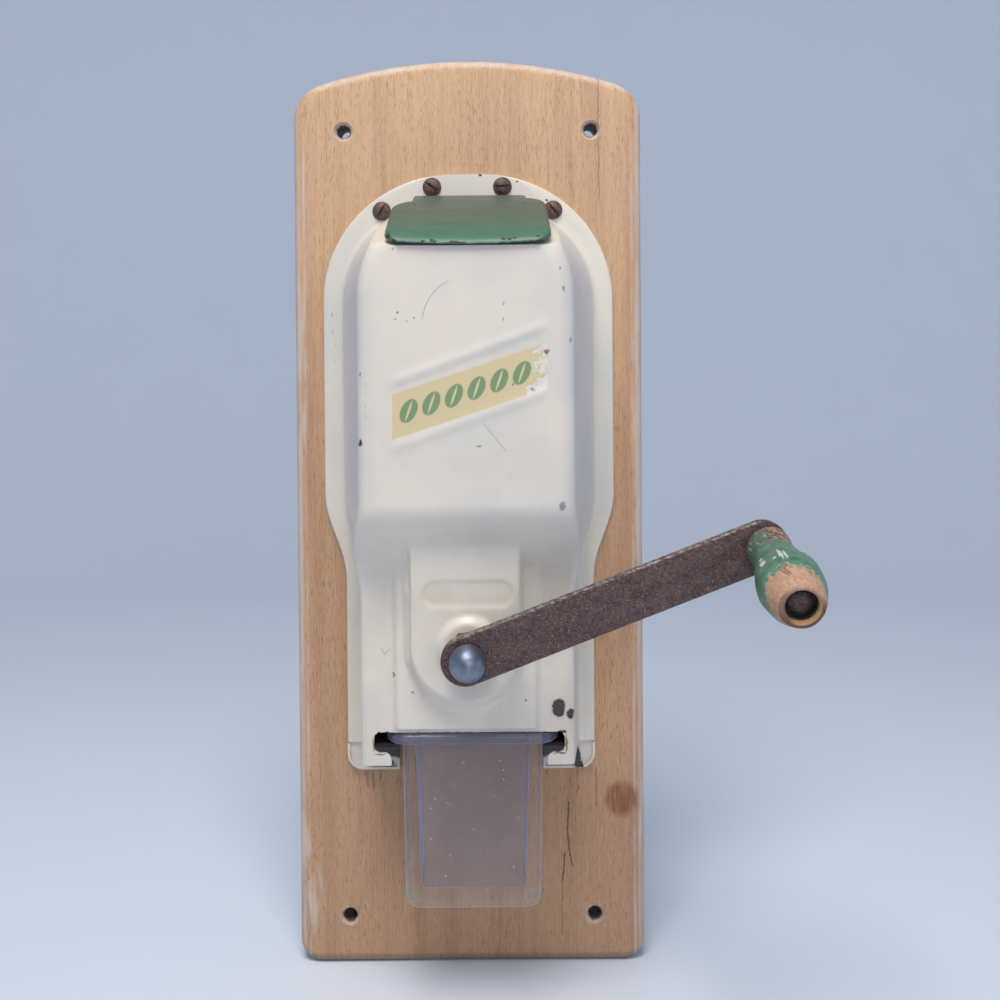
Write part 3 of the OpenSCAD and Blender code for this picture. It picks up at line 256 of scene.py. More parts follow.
class Wire:
    # one value of a finish, so that shader maths reads as plain sums
    def __init__(self, finish, socket):
        self.finish = finish
        self.socket = socket

    def sum(self, operation, first, second):
        return self.finish.node("ShaderNodeMath", {"operation": operation}, {0: first, 1: second})

    def __add__(self, other):
        return self.sum("ADD", self, other)

    def __radd__(self, other):
        return self.sum("ADD", other, self)

    def __sub__(self, other):
        return self.sum("SUBTRACT", self, other)

    def __rsub__(self, other):
        return self.sum("SUBTRACT", other, self)

    def __mul__(self, other):
        return self.sum("MULTIPLY", self, other)

    def __rmul__(self, other):
        return self.sum("MULTIPLY", other, self)

    def __truediv__(self, other):
        return self.sum("DIVIDE", self, other)

    def __rtruediv__(self, other):
        return self.sum("DIVIDE", other, self)

    def __abs__(self):
        return self.sum("ABSOLUTE", self, 0.0)

    def most(self, other):
        return self.sum("MAXIMUM", self, other)

    def step(self, low, high):
        # 0 at low, 1 at high, smooth between; low may be the larger
        values = {0: self, 1: low, 2: high, 3: 0.0, 4: 1.0}
        return self.finish.node("ShaderNodeMapRange", {"interpolation_type": "SMOOTHSTEP"}, values)


class Finish:
    def __init__(self, name, ragged=0.5):
        self.material = bpy.data.materials.new(name)
        self.material.use_nodes = True
        self.tree = self.material.node_tree
        self.shader = self.tree.nodes["Principled BSDF"]
        metres = self.node("ShaderNodeTexCoord", {}, {}, "Object")
        self.place = self.node("ShaderNodeVectorMath", {"operation": "SCALE"}, {0: metres, "Scale": 1000.0})
        axes = [self.node("ShaderNodeSeparateXYZ", {}, {0: self.place}, i) for i in range(3)]
        self.x, self.y, self.z = axes
        jitter = self.grain(1.6, 3, out=1)
        shift = self.vector("SUBTRACT", jitter, (0.5, 0.5, 0.5))
        self.ragged = self.vector("MULTIPLY_ADD", shift, (ragged * 4,) * 3, self.place)

    def node(self, kind, settings, values, out=0):
        made = self.tree.nodes.new(kind)
        for key, value in settings.items():
            setattr(made, key, value)
        for key, value in values.items():
            self.feed(made.inputs[key], value)
        return Wire(self, made.outputs[out])

    def feed(self, socket, value):
        if isinstance(value, Wire):
            self.tree.links.new(value.socket, socket)
        elif socket.type == "RGBA" and len(value) == 3:
            socket.default_value = tone(*value)
        else:
            socket.default_value = value

    def surface(self, **values):
        for key, value in values.items():
            self.feed(self.shader.inputs[key.replace("_", " ")], value)

    def vector(self, operation, *values, out=0):
        return self.node("ShaderNodeVectorMath", {"operation": operation}, dict(enumerate(values)), out)

    def length(self, vector):
        return self.vector("LENGTH", vector, out=1)

    def along(self, vector, way):
        return self.vector("DOT_PRODUCT", vector, way, out=1)

    def away(self, x, z, exact=True):
        return self.vector("SUBTRACT", self.place if exact else self.ragged, (x, 0, z))

    def grain(self, size, detail=2.0, rough=0.55, shift=0.0, out=0):
        # noise with features of about this size in mm, one number or one for each axis
        sizes = size if isinstance(size, tuple) else (size,) * 3
        where = self.vector("MULTIPLY_ADD", self.place, tuple(1 / s for s in sizes), (shift,) * 3)
        values = {"Vector": where, "Scale": 1.0, "Detail": detail, "Roughness": rough}
        return self.node("ShaderNodeTexNoise", {}, values, out)

    def blend(self, factor, first, second):
        settings = {"data_type": "RGBA", "clamp_factor": True}
        return self.node("ShaderNodeMix", settings, {0: factor, 6: first, 7: second}, 2)

    def base(self, factor, first, second):
        self.colour = self.blend(factor, first, second)

    def coat(self, factor, shade):
        # one more shade over the colour so far
        self.colour = self.blend(factor, self.colour, shade)

    def spot(self, x, z, rx, rz=None, soft=0.35, exact=False):
        # round mark on the front, with ragged edges unless it is exact
        scaled = self.vector("MULTIPLY", self.away(x, z, exact), (1 / rx, 0, 1 / (rz or rx)))
        return self.length(scaled).step(1 + soft, 1 - soft)

    def tilted(self, x, z, rx, rz, turn, soft=0.3):
        # oval mark, leaning by turn degrees
        c, s = cosSin(turn)
        away = self.away(x, z)
        along = self.along(away, (c / rx, 0, s / rx))
        over = self.along(away, (-s / rz, 0, c / rz))
        return (along * along + over * over).step(1 + soft, 1 - soft)

    def streak(self, start, end, width, exact=False):
        # thin mark from one point to another
        (x, z), (dx, dz) = start, (end[0] - start[0], end[1] - start[1])
        length = math.hypot(dx, dz)
        away = self.away(x, z, exact)
        along = self.along(away, (dx / length, 0, dz / length))
        over = self.along(away, (-dz / length, 0, dx / length))
        beyond = abs(along - length / 2).step(length / 2 + width, length / 2 - width)
        return abs(over).step(width, width * 0.3) * beyond

    def marks(self, spots, soft=0.35, exact=False):
        return mostOf([self.spot(x, z, rx, rz, soft, exact) for x, z, rx, rz in spots])

    def lines(self, ends, width, exact=False):
        return mostOf([self.streak(start, end, width, exact) for start, end in ends])

    def bump(self, height, depth):
        values = {"Height": height, "Distance": depth / 1000, "Strength": 1.0}
        self.surface(Normal=self.node("ShaderNodeBump", {}, values))


# Camera, at the photograph's viewpoint

view = {"place": (0.008, -0.498, 0.0771), "down": 0.8, "roll": 0.42, "lens": 43.5, "shift": (0.0115, -0.1522)}
camera = placed("camera", bpy.data.cameras.new("camera"))
camera.location = view["place"]
camera.rotation_euler = (math.radians(90 - view["down"]), math.radians(view["roll"]), 0)
camera.data.lens = view["lens"]
camera.data.sensor_width = 36
camera.data.shift_x, camera.data.shift_y = view["shift"]
camera.data.clip_start = 0.01
bpy.context.scene.camera = camera
bpy.context.scene.view_settings.view_transform = "Standard"

# Studio: a round pale floor that sweeps up all around, and large soft lights

studio = {
    "middle": -0.65, "r": 1.95, "sweepR": 0.6, "top": 1.1, "pale": (224, 231, 243), "mottle": 0.97,
    "world": (206, 219, 240), "worldPower": 0.3,
    # each light's place, aim, size, power and tint
    "lights": [
        ("overhead", (-0.08, -0.52, 0.95), (0.0, -0.03, 0.03), 0.55, 10.2, (1.0, 0.97, 0.93)),
        ("frontFill", (0.3, -1.35, 0.45), (0.0, -0.03, 0.0), 0.9, 3.4, (1.0, 0.985, 0.97)),
        ("leftFill", (-1.1, -0.35, -0.05), (0.0, -0.04, 0.0), 0.8, 0.7, (0.52, 0.7, 1.0)),
        ("rightFill", (1.1, -0.35, -0.05), (0.0, -0.04, 0.0), 0.8, 1.5, (0.52, 0.7, 1.0)),
    ],
}


def makeStudio():
    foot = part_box("backing_board")[0].z * 1000
    wide, r = studio["r"] * 1000, studio["sweepR"] * 1000
    side = [(0, 0)] + arc(wide - r, r, r, -90, 0, 24) + [(wide, studio["top"] * 1000)]
    floor = lathe("floor", side, (0, studio["middle"] * 1000, foot), (0, 0, 1), 96, angle=60)
    pale = Finish("pale_floor")
    light = tone(*studio["pale"])
    pale.base(pale.grain(60.0), light, tuple(c * studio["mottle"] for c in light))
    pale.surface(Base_Color=pale.colour, Roughness=0.8)
    floor.data.materials.append(pale.material)
    world = bpy.context.scene.world or bpy.data.worlds.new("studio")
    bpy.context.scene.world = world
    world.use_nodes = True
    sky = world.node_tree.nodes["Background"]
    sky.inputs["Color"].default_value = tone(*studio["world"])
    sky.inputs["Strength"].default_value = studio["worldPower"]
    for name, place, aim, size, power, tint in studio["lights"]:
        lamp = bpy.data.lights.new(name, "AREA")
        lamp.shape = "DISK"
        lamp.size = size
        lamp.energy = power
        lamp.color = tint
        holder = placed(name, lamp)
        holder.location = place
        holder.rotation_euler = (Vector(aim) - Vector(place)).to_track_quat("-Z", "Y").to_euler()


makeStudio()
print("camera and studio set")

# Backing board

board = {
    "topR": 196, "shoulderR": 15, "footR": 9, "edgeR": 4, "backEdge": 0.6, "edgeSteps": 10,
    "holeX": 49, "holeZ": 156.5, "holeR": 2.5, "sinkR": 3.9, "sinkDepth": 2, "past": 1, "holeDirtAndShadeR": 2.9,
    "light": (208, 169, 132), "mid": (195, 154, 119), "low": (184, 145, 112), "fleck": (134, 90, 60),
    "endGrainAndShade": (128, 112, 106), "worn": (205, 190, 178), "dark": (74, 50, 38), "knot": (140, 84, 54),
    "knotAt": (59.7, -110.0), "knotR": 6.4,
    "cracks": [((38.7, -110.8), (38.1, -122.1)), ((38.1, -122.1), (38.5, -129.1)),
               ((38.5, -129.1), (39.9, -136.8)), ((37.1, -131.2), (36.0, -143.1))],
    "hairCracks": [((36.0, -143.1), (35.7, -165.0)), ((42.4, -97.0), (42.0, -108.0)),
                   ((49.7, -97.0), (49.6, -113.0)), ((52.1, 179), (52.2, 129)), ((-22.5, -92), (-22.2, -99))],
    "drips": [((-41.8, -97.0), (-41.6, -104.5)), ((-39.4, -97.0), (-39.2, -105.5)),
              ((-36.6, -97.0), (-36.4, -102.5))],
    "bareEdges": [(-62.5, -150, 3.4, 13), (-66.5, -128, 2, 9), (-66, 60, 1.6, 30), (66.5, 40, 1.5, 50)],
}
boardLow, boardHigh = [corner * 1000 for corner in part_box("backing_board")]
wallHoles = [(x * board["holeX"], z * board["holeZ"]) for x in (-1, 1) for z in (-1, 1)]


def boardOutline(inset):
    half = boardHigh.x
    archZ = boardHigh.z - board["topR"]
    shoulderX = half - board["shoulderR"]
    rise = math.sqrt((board["topR"] - board["shoulderR"]) ** 2 - shoulderX ** 2)
    turn = math.degrees(math.atan2(rise, shoulderX))
    foot = board["footR"]
    right = (arc(half - foot, boardLow.z + foot, foot - inset, -90, 0, 10)
             + arc(shoulderX, archZ + rise, board["shoulderR"] - inset, 0, turn, 12)
             + arc(0, archZ, board["topR"] - inset, turn, 90, 20)[1:-1])
    return mirrored(right)


def makeBoard():
    edge = board["edgeR"]
    rings = [(board["backEdge"], 0), (0, board["backEdge"])]
    for i in range(board["edgeSteps"] + 1):
        c, s = cosSin(90 / board["edgeSteps"] * i)
        rings.append((edge * (1 - c), boardFront - edge + edge * s))
    skins = [[onWall(x, z, out - boardFront) for x, z in boardOutline(inset)] for inset, out in rings]
    piece = makePiece("board", *loft(skins))
    past, r, sinkR = board["past"], board["holeR"], board["sinkR"]
    slope = (sinkR - r) / board["sinkDepth"]
    hole = [(0, -past), (r, -past), (r, boardFront - board["sinkDepth"]), (sinkR, boardFront),
            (sinkR + past * slope, boardFront + past), (0, boardFront + past)]
    return cut(piece, *[lathe("hole", hole, (x, 0, z), steps=32) for x, z in wallHoles])


def woodFinish():
    wood = Finish("beech", 0.4)
    # painted light: the board's colour is lighter towards the top and darker towards the foot, as if lit from
    # above
    height = wood.z + (wood.grain((40.0, 40.0, 160.0)) - 0.5) * 120
    wood.base(height.step(-190, -40), board["low"], board["mid"])
    wood.coat(height.step(-20, 170), board["light"])
    bands = wood.grain((8.0, 8.0, 260.0), 3, 0.6)
    wood.coat(bands.step(0.4, 0.75) * 0.32, board["fleck"])
    fine = wood.grain((0.6, 0.6, 26.0), 3, 0.7)
    wood.coat(fine.step(0.45, 0.72) * 0.3, board["fleck"])
    flecks = wood.grain((0.42, 0.42, 3.6), 1.5, 0.5, 7.0).step(0.58, 0.68)
    patches = wood.grain((12.0, 12.0, 46.0), 2).step(0.35, 0.65)
    wood.coat(flecks * (patches * 0.3 + wood.z.step(140, -120) * 0.2 + 0.1), board["fleck"])
    pale = wood.grain((0.7, 0.7, 6.0), 2, 0.5, 21.0).step(0.62, 0.74)
    wood.coat(pale * 0.3, board["worn"])
    # sides and ends: darker and greyer, partly end grain and partly painted shade, with a pale band on the
    # rounded edge
    depth = wood.y.step(2.4 - boardFront, 5.5 - boardFront)
    wood.coat(depth * 0.75, board["endGrainAndShade"])
    foot = wood.z.step(boardLow.z + 4.3, boardLow.z + 3.3)
    hatch = wood.grain((0.8, 5.0, 5.0), 2, 0.6, 15.0).step(0.4, 0.6)
    wood.coat(foot * (hatch * 0.35 + 0.4), board["endGrainAndShade"])
    # the pale band on the rounded edges: partly worn wood and partly a painted highlight where the edges face
    # the light
    side = abs(wood.x).step(boardHigh.x - 3.4, boardHigh.x - 1.6) * (1 - foot)
    arch = wood.vector("DISTANCE", wood.place, (0, -boardFront, boardHigh.z - board["topR"]), out=1)
    rim = side.most(arch.step(board["topR"] - 3.2, board["topR"] - 1.6))
    rubbed = wood.grain((3.0, 3.0, 24.0), 3).step(0.36, 0.62)
    wood.coat(rim * (1 - depth) * (rubbed * 0.5 + 0.35), board["worn"])
    arris = abs(abs(wood.x) - (boardHigh.x - board["edgeR"])).step(0.9, 0.2) * wood.z.step(160, 150)
    wood.coat(arris * (rubbed * 0.45 + 0.1), board["worn"])
    wood.coat(wood.marks(board["bareEdges"]) * rubbed * 0.6, board["worn"])
    # knot and cracks
    streaky = wood.grain((0.9, 0.9, 9.0), 3, 0.6, 3.0)
    knot = wood.spot(*board["knotAt"], board["knotR"], board["knotR"] * 1.05, 0.3)
    wood.coat(knot * (streaky.step(0.3, 0.6) * 0.45 + 0.5), board["knot"])
    crack = wood.lines(board["cracks"], 0.4).most(wood.lines(board["hairCracks"], 0.3) * 0.5)
    wood.coat(crack * 0.75, board["dark"])
    drips = wood.lines(board["drips"], 0.9) * wood.grain((0.5, 0.5, 5.0), 2).step(0.35, 0.6)
    wood.coat(drips * 0.55, board["dark"])
    # wall holes: dark inside, partly dirt and partly painted shade, with a thin pale ring
    for x, z in wallHoles:
        wood.coat(wood.spot(x, z, board["sinkR"], soft=0.1) * 0.7, board["worn"])
        wood.coat(wood.spot(x, z, board["holeDirtAndShadeR"], soft=0.14) * 0.88, board["dark"])
    wood.surface(Base_Color=wood.colour, Roughness=fine * 0.2 + 0.48)
    wood.bump(fine * 0.5 + flecks * -0.6 + crack * -2.0, 0.12)
    return wood


fit(makeBoard(), "casing", woodFinish(), "backing_board")
print("board done")

# Case

case = {
    "flangeOut": 2.2, "sheet": 1.2, "chestOut": 42, "hopperOut": 60, "footZ": -86,
    "chestFootZ": -81, "footSlant": 14,
    "springZ": 89, "flangeRise": 50, "flangeFlat": 6, "flangeHalf": 57.3, "flangeFootHalf": 49.1,
    "wallRise": 36.8, "wallFlat": 14, "hopperHalf": 49, "chestHalf": 42.2,
    "neckTopZ": 13, "neckFootZ": -21, "stepTopZ": 17, "stepFootZ": -14, "shoulder": 17.66, "blend": 1.2,
    "hopperDraft": 0.2, "chestDraft": {1: 0.1, -1: 0.069},
    "hopperEdge": 6.5, "lidEdge": 6, "lidEdgeZ": (100, 118), "chestEdge": 2.8, "edgeFlat": 0.8,
    "footFillet": 2.4, "rimR": 1.0,
    "chestShift": -1.0, "panelHalf": 25.2, "panelRaise": 2, "panelFootZ": -67.8, "panelFillet": 0.9,
    "shieldIn": (19.0, 16.3), "shieldReach": (21.6, 23.6), "shieldOut": 51, "shieldZ": -38,
    "bossR": 11, "bossH": 2.5, "shaftZ": -36,
    "recessHalf": 16, "recessR": 4.6, "recessZ": -16.6, "recessDepth": 0.45, "recessEdge": 0.5,
    "ribHalf": 27.3, "ribZ": (46, 69), "ribSlope": 0.364, "ribShift": 1.0, "ribRaise": 0.45, "ribWide": 1.9,
    "sunk": 0.25, "sunkZ": (4, 24),
    "slotTopZ": -68.9, "slotH": 7.6, "slotHalf": 34.7, "slotOut": (24, 66), "slotR": 2.0,
    "lipHalf": 28.5, "lipR": 2.6,
    "mouthHalf": 19, "mouthOut": (19, 52), "mouthZ": (82, 146), "mouthR": 5,
    "bushHole": 5.85, "bushFrom": 36, "bushDepth": 30,
    # steps over the face, round the edge and down the wall, for the outer and the inner skin
    "rowStep": 0.95, "skinSteps": [(58, 8, 9), (9, 3, 2)], "archSteps": 40, "crownSteps": 12,
}


def archHalf(z, half, flat, rise):
    return flat + (half - flat) * math.sqrt(max(1 - (max(z - case["springZ"], 0) / rise) ** 2, 0))


def neck(z):
    return ease(z, case["neckFootZ"], case["neckTopZ"])


def stepUp(z):
    return ease(z, case["stepFootZ"], case["stepTopZ"])


def flangeHalf(z):
    if z > case["springZ"]:
        return archHalf(z, case["flangeHalf"], case["flangeFlat"], case["flangeRise"])
    return mix(case["flangeFootHalf"], case["flangeHalf"], neck(z))


def wallHalf(z):
    if z > case["springZ"] + case["wallRise"]:
        return min(case["wallFlat"], 0.6 * flangeHalf(z))
    if z > case["springZ"]:
        return archHalf(z, case["hopperHalf"], case["wallFlat"], case["wallRise"])
    return mix(case["chestHalf"], case["hopperHalf"], neck(z))


def faceOut(z):
    front = mix(case["chestOut"], case["hopperOut"], stepUp(z))
    crown = case["springZ"] + case["wallRise"]
    shoulder = case["flangeOut"] + (crown - z) / math.tan(math.radians(case["shoulder"]))
    return max(softMin(front, shoulder, case["blend"]), case["flangeOut"])


def pressed(x, z, out):
    # the raised panel and the shield on the chest, blended into the step above them
    panel = 1 - ease(x, case["panelHalf"] - 0.6, case["panelHalf"] + 2.0)
    panel *= ease(z, case["panelFootZ"] - case["panelFillet"], case["panelFootZ"] + case["panelFillet"])
    top = mix(out, softMax(out, case["chestOut"] + case["panelRaise"], 1.5), panel)
    reach = x if z > case["shieldZ"] else math.hypot(x, z - case["shieldZ"])
    down = clamp((case["shieldZ"] - z) / case["shieldReach"][0])
    shield = 1 - ease(reach, mix(*case["shieldIn"], down), mix(*case["shieldReach"], down))
    return mix(top, softMax(top, case["shieldOut"], 3.0), shield)


def fineRelief(x, z):
    # boss, recess and the two slanted ribs, on the outer skin only; x is signed
    boss = 1 - ease(math.hypot(x, z - case["shaftZ"]), case["bossR"] - 2.2, case["bossR"] + 1.3)
    lift = case["bossH"] * boss
    endX = max(abs(x) - (case["recessHalf"] - case["recessR"]), 0)
    past = math.hypot(endX, z - case["recessZ"]) - case["recessR"]
    lift -= case["recessDepth"] * (1 - ease(past, -case["recessEdge"], case["recessEdge"]))
    x -= case["ribShift"]
    inside = 1 - ease(abs(x), case["ribHalf"] - 3.2, case["ribHalf"] + 1.2)
    for middle in case["ribZ"]:
        away = (z - middle - x * case["ribSlope"]) / math.hypot(1, case["ribSlope"])
        lift += case["ribRaise"] * math.exp(-(away / case["ribWide"]) ** 2) * inside
    below = 1 - ease(z - case["ribZ"][1] - x * case["ribSlope"], -3, 1)
    return lift - case["sunk"] * inside * below * ease(z, *case["sunkZ"])


def caseHalf(z, t, side):
    # half of a cross section, from the middle out to the flange's edge; t draws the inner skin in
    inner = t > 0
    steps, turns, walls = case["skinSteps"][inner]
    out, half = faceOut(z), wallHalf(z)
    depth = out - case["flangeOut"]
    high = stepUp(z)
    hopperEdge = case["hopperEdge"] + case["lidEdge"] * ease(z, *case["lidEdgeZ"])
    edge = min(mix(case["chestEdge"], hopperEdge, high), half / 2)
    edgeOut = min(edge * case["edgeFlat"], depth * 0.8)
    draft = mix(case["chestDraft"][side], case["hopperDraft"], high)
    face = half - max(depth - edgeOut, 0) * draft - edge
    points = []
    for i in range(steps):
        x = face * i / steps
        top = pressed(abs(side * x - case["chestShift"]), z, out) if z < case["stepTopZ"] else out
        points.append((x, top - t + (0 if inner else fineRelief(side * x, z))))
    for i in range(turns + 1):
        c, s = cosSin(90 * i / turns)
        points.append((face + (edge - t) * s, out - t - max(edgeOut - t, 0) * (1 - c)))
    fillet = min(case["footFillet"], depth * 0.35)
    startX, startOut = points[-1]
    footX, footOut = half - t, case["flangeOut"] - t + fillet
    points += [(mix(startX, footX, i / walls), mix(startOut, footOut, i / walls))
               for i in range(1, walls + 1)]
    for i in range(1, 5):
        c, s = cosSin(22.5 * i)
        points.append((footX + fillet * (1 - c), footOut - fillet * s))
    last, rim = flangeHalf(z), case["rimR"]
    startX, startOut = points[-1]
    points += [(mix(startX, last - rim, i / 3), startOut) for i in (1, 2, 3)]
    if inner:
        return points + [(last, startOut)]
    return points + [(last - rim + rim * s, startOut - rim * (1 - c)) for c, s in map(cosSin, (30, 60, 90))]


def caseRing(z):
    t = case["sheet"]
    above = z + t * ramp(z, case["stepTopZ"], case["springZ"])
    right, left = caseHalf(z, 0, 1), caseHalf(z, 0, -1)
    innerRight, innerLeft = caseHalf(above, t, 1), caseHalf(above, t, -1)
    ends = flangeHalf(z)
    for inner in (innerRight, innerLeft):
        inner[-1] = (ends, inner[-1][1])
        inner[-2] = (min(inner[-2][0], ends - 0.2), inner[-2][1])
    flat = ([(-x, out) for x, out in reversed(left)][:-1] + right
            + list(reversed(innerRight)) + [(-x, out) for x, out in innerLeft[1:]])
    slant = 1 - ramp(z, case["footZ"], case["footZ"] + case["footSlant"])
    lift = case["chestFootZ"] - case["footZ"]
    return [onWall(x, z + slant * lift * out / case["chestOut"], out) for x, out in flat]


def caseRows():
    spring, rise = case["springZ"], case["flangeRise"]
    count = round((spring - case["footZ"]) / case["rowStep"])
    rows = [mix(case["footZ"], spring, i / count) for i in range(count)]
    rows += [spring + case["wallRise"] * cosSin(90 / case["archSteps"] * i)[1]
             for i in range(case["archSteps"] + 1)]
    start = math.degrees(math.asin(case["wallRise"] / rise))
    crown = case["crownSteps"]
    return rows + [spring + rise * cosSin(mix(start, 90, i / crown))[1] for i in range(1, crown + 1)]


def chipped(outline, pitch, amount):
    # the outline with small uneven steps, like a rusted edge
    points = []
    for (x, z), (nextX, nextZ) in zip(outline, outline[1:] + outline[:1]):
        count = max(1, int(math.hypot(nextX - x, nextZ - z) / pitch))
        for i in range(count):
            p = Vector((mix(x, nextX, i / count), mix(z, nextZ, i / count), 0.5))
            push = noise.noise_vector(p * 0.9)
            points.append((p.x + amount * push.x, p.y + amount * push.y))
    return points


def makeCase():
    piece = makePiece("case", *loft([caseRing(z) for z in caseRows()]), 45)
    top, foot, r, lip = case["slotTopZ"], case["slotTopZ"] - case["slotH"], case["slotR"], case["lipR"]
    endX = case["slotHalf"] - r
    right = ([(case["lipHalf"], case["footZ"] - 6)] + arc(case["lipHalf"] + lip, foot - lip, lip, 180, 90, 6)
             + arc(endX, foot + r, r, -90, 0, 5) + arc(endX, top - r, r, 0, 90, 5))
    slot = prism("slot", chipped(mirrored(right), 0.9, 0.28), *case["slotOut"])
    near, far = case["mouthOut"]
    plan = roundRect(case["mouthHalf"], (far - near) / 2, case["mouthR"])
    plan = [(x, y + (near + far) / 2) for x, y in plan]
    mouth = prism("mouth", plan, *case["mouthZ"], lambda x, out, z: onWall(x, z, out))
    r, depth = case["bushHole"], case["bushDepth"]
    place = onWall(0, case["shaftZ"], case["bushFrom"])
    bore = lathe("bore", [(0, 0), (r, 0), (r, depth), (0, depth)], place, steps=40)
    return cut(piece, slot, mouth, bore, angle=45)


# marks are given as x, z and the two half sizes
wear = {
    "cream": (222, 213, 200), "creamCool": (211, 206, 197), "yellowed": (205, 191, 164),
    "label": (212, 192, 148),
    "green": (98, 138, 92), "chip": (54, 45, 46), "rust": (121, 82, 58), "grey": (132, 128, 128),
    "bluish": (126, 134, 156), "white": (232, 228, 218), "paintedReflection": (178, 186, 214), "bare": (52, 42, 40),
    "chips": [(32.7, -60.3, 2.4, 3.3), (36.9, -62.6, 1.3, 1.8), (-37.2, 38.3, 0.6, 1.1),
              (29.2, -73.2, 1.0, 0.9), (-31.0, -69.4, 2.3, 0.8), (33.4, -69.2, 2.0, 0.7),
              (5.1, 138.5, 0.6, 0.4), (31.4, 128.4, 0.45, 0.45), (19.8, 136.1, 0.45, 0.4)],
    "plateChips": [(41.8, -92.8, 1.5, 4.4), (43.0, -96.0, 1.3, 1.6), (-32.4, -94.6, 1.6, 1.0)],
    "scraped": [(33.4, 15.6, 1.0, 1.7)],
    "rustDots": [(28.2, 69.6, 0.9, 0.9), (-32.6, -76.8, 2.2, 0.35), (33.0, -76.8, 2.2, 0.35),
                 (-35.0, -73.0, 0.3, 2.6), (35.2, -73.2, 0.45, 3.0), (20.3, -56.7, 0.5, 0.5),
                 (-20.4, -53.6, 0.4, 0.4)],
    "dots": [(33.1, 98.7, 0.4, 0.6), (34.5, 91.7, 0.35, 0.9), (36.6, 73.7, 0.35, 0.9),
             (13.3, 86.5, 0.3, 0.7), (13.2, 81.2, 0.3, 0.6), (-23.9, 83.9, 0.45, 0.5),
             (-17.9, 82.1, 0.35, 0.35), (32.7, -39.7, 0.4, 0.4), (-27.3, -47.7, 0.35, 0.9),
             (-24.6, 81.2, 0.3, 0.3), (-20.5, 80.6, 0.25, 0.3), (4.6, 36.8, 0.9, 0.35),
             (-36.8, 62.0, 0.35, 0.7), (16.2, 58.4, 0.4, 0.4), (23.2, 56.8, 0.6, 0.6),
             (-48.0, 93.0, 0.3, 0.9), (-25.2, 105.6, 0.3, 0.5)],
    "hairArc": (1.5, 79.8), "hairArcR": 16.5,
    "hairs": [((6.0, 44.9), (14.0, 35.0)), ((-31.8, -38.0), (-30.6, -40.4)),
              ((-30.6, -40.4), (-28.8, -38.2))],
    "scuffs": [(-53.4, 81.4, 1.4, 5.0), (-52.6, 70.0, 0.8, 8.0), (38.8, 60.0, 0.8, 4.0),
               (-35.0, 55.0, 0.7, 9.0)],
    "labelLeft": -25.9, "labelRight": 28.6, "labelFoot": (39.2, 57.2), "labelTop": (55.4, 73.2),
    "beans": 6, "beanHalf": (4.5, 2.7), "beanLean": 62, "creaseHalf": 0.42, "creaseLean": 71,
    "recessStain": (-11.0, case["recessZ"], 6.5, 4.0),
    # where the hopper's steep walls get a painted bluish reflection, and where the plate behind the cup slot
    # gets painted shade
    "wallX": (35, 40), "wallFootZ": (0, 25), "wallTopZ": (122, 104), "wallY": (-24, -30),
    "insideShadeX": (39.6, 38.4), "insideShadeFootZ": (-93.0, -91.6), "insideShadeTopZ": (100, 90),
    "notch": [(40.2, -86.6), (46.2, -86.4), (45.6, -91.0), (44.6, -93.2), (43.6, -98.4), (40.4, -98.4),
              (41.2, -92.0)],
    "notchOut": (1.05, 6),
}


def beansOn(paint):
    # six plain coffee beans along the slanted label, each with its crease
    beans = []
    for i in range(wear["beans"]):
        s = (i + 0.75) / (wear["beans"] + 0.9)
        x = mix(wear["labelLeft"], wear["labelRight"], s)
        z = (mix(*wear["labelFoot"], s) + mix(*wear["labelTop"], s)) / 2 + 0.2
        longHalf, shortHalf = wear["beanHalf"]
        bean = paint.tilted(x, z, longHalf, shortHalf, wear["beanLean"], 0.16)
        crease = paint.tilted(x, z, longHalf * 0.8, wear["creaseHalf"], wear["creaseLean"], 0.5)
        beans.append(bean * (1 - crease))
    return mostOf(beans)


def labelOn(paint):
    # the slanted label, flaked off to white in places; returns the label and its bared places
    left, right = wear["labelLeft"], wear["labelRight"]
    foot, top, front = wear["labelFoot"][0], wear["labelTop"][0], -boardFront - case["hopperOut"]
    slope = (wear["labelTop"][1] - top) / (right - left)
    level = paint.z - (paint.x - left) * slope
    tatter = (paint.grain(1.1, 3, 0.6, 2.0) - 0.5) * 1.1
    label = (level + tatter).step(foot - 0.4, foot + 0.4) * (level + tatter).step(top + 0.4, top - 0.4)
    label = label * (paint.x + tatter).step(left - 0.3, left + 0.3)
    label = label * (paint.x + tatter).step(right + 0.3, right - 0.3) * paint.y.step(front + 4, front + 1.5)
    flaking = paint.x.step(15, 28) * 0.36 + (level - foot).step(5.0, 0.0) * 0.18 * paint.x.step(-12, 6)
    kept = label * (1 - (paint.grain(2.1, 4, 0.65, 17.0) + flaking).step(0.8, 0.86))
    ink = paint.blend(paint.grain(2.6, 2).step(0.4, 0.7) * 0.25, wear["label"], wear["yellowed"])
    paint.coat(kept * 0.95, paint.blend(beansOn(paint) * 0.92, ink, wear["green"]))
    bared = label * (1 - kept)
    pits = paint.grain(0.7, 2, 0.5, 31.0).step(0.6, 0.68)
    paint.coat(bared * (0.5 + pits * 0.3), wear["white"])
    paint.coat(bared * pits * 0.45, wear["grey"])
    return label, bared


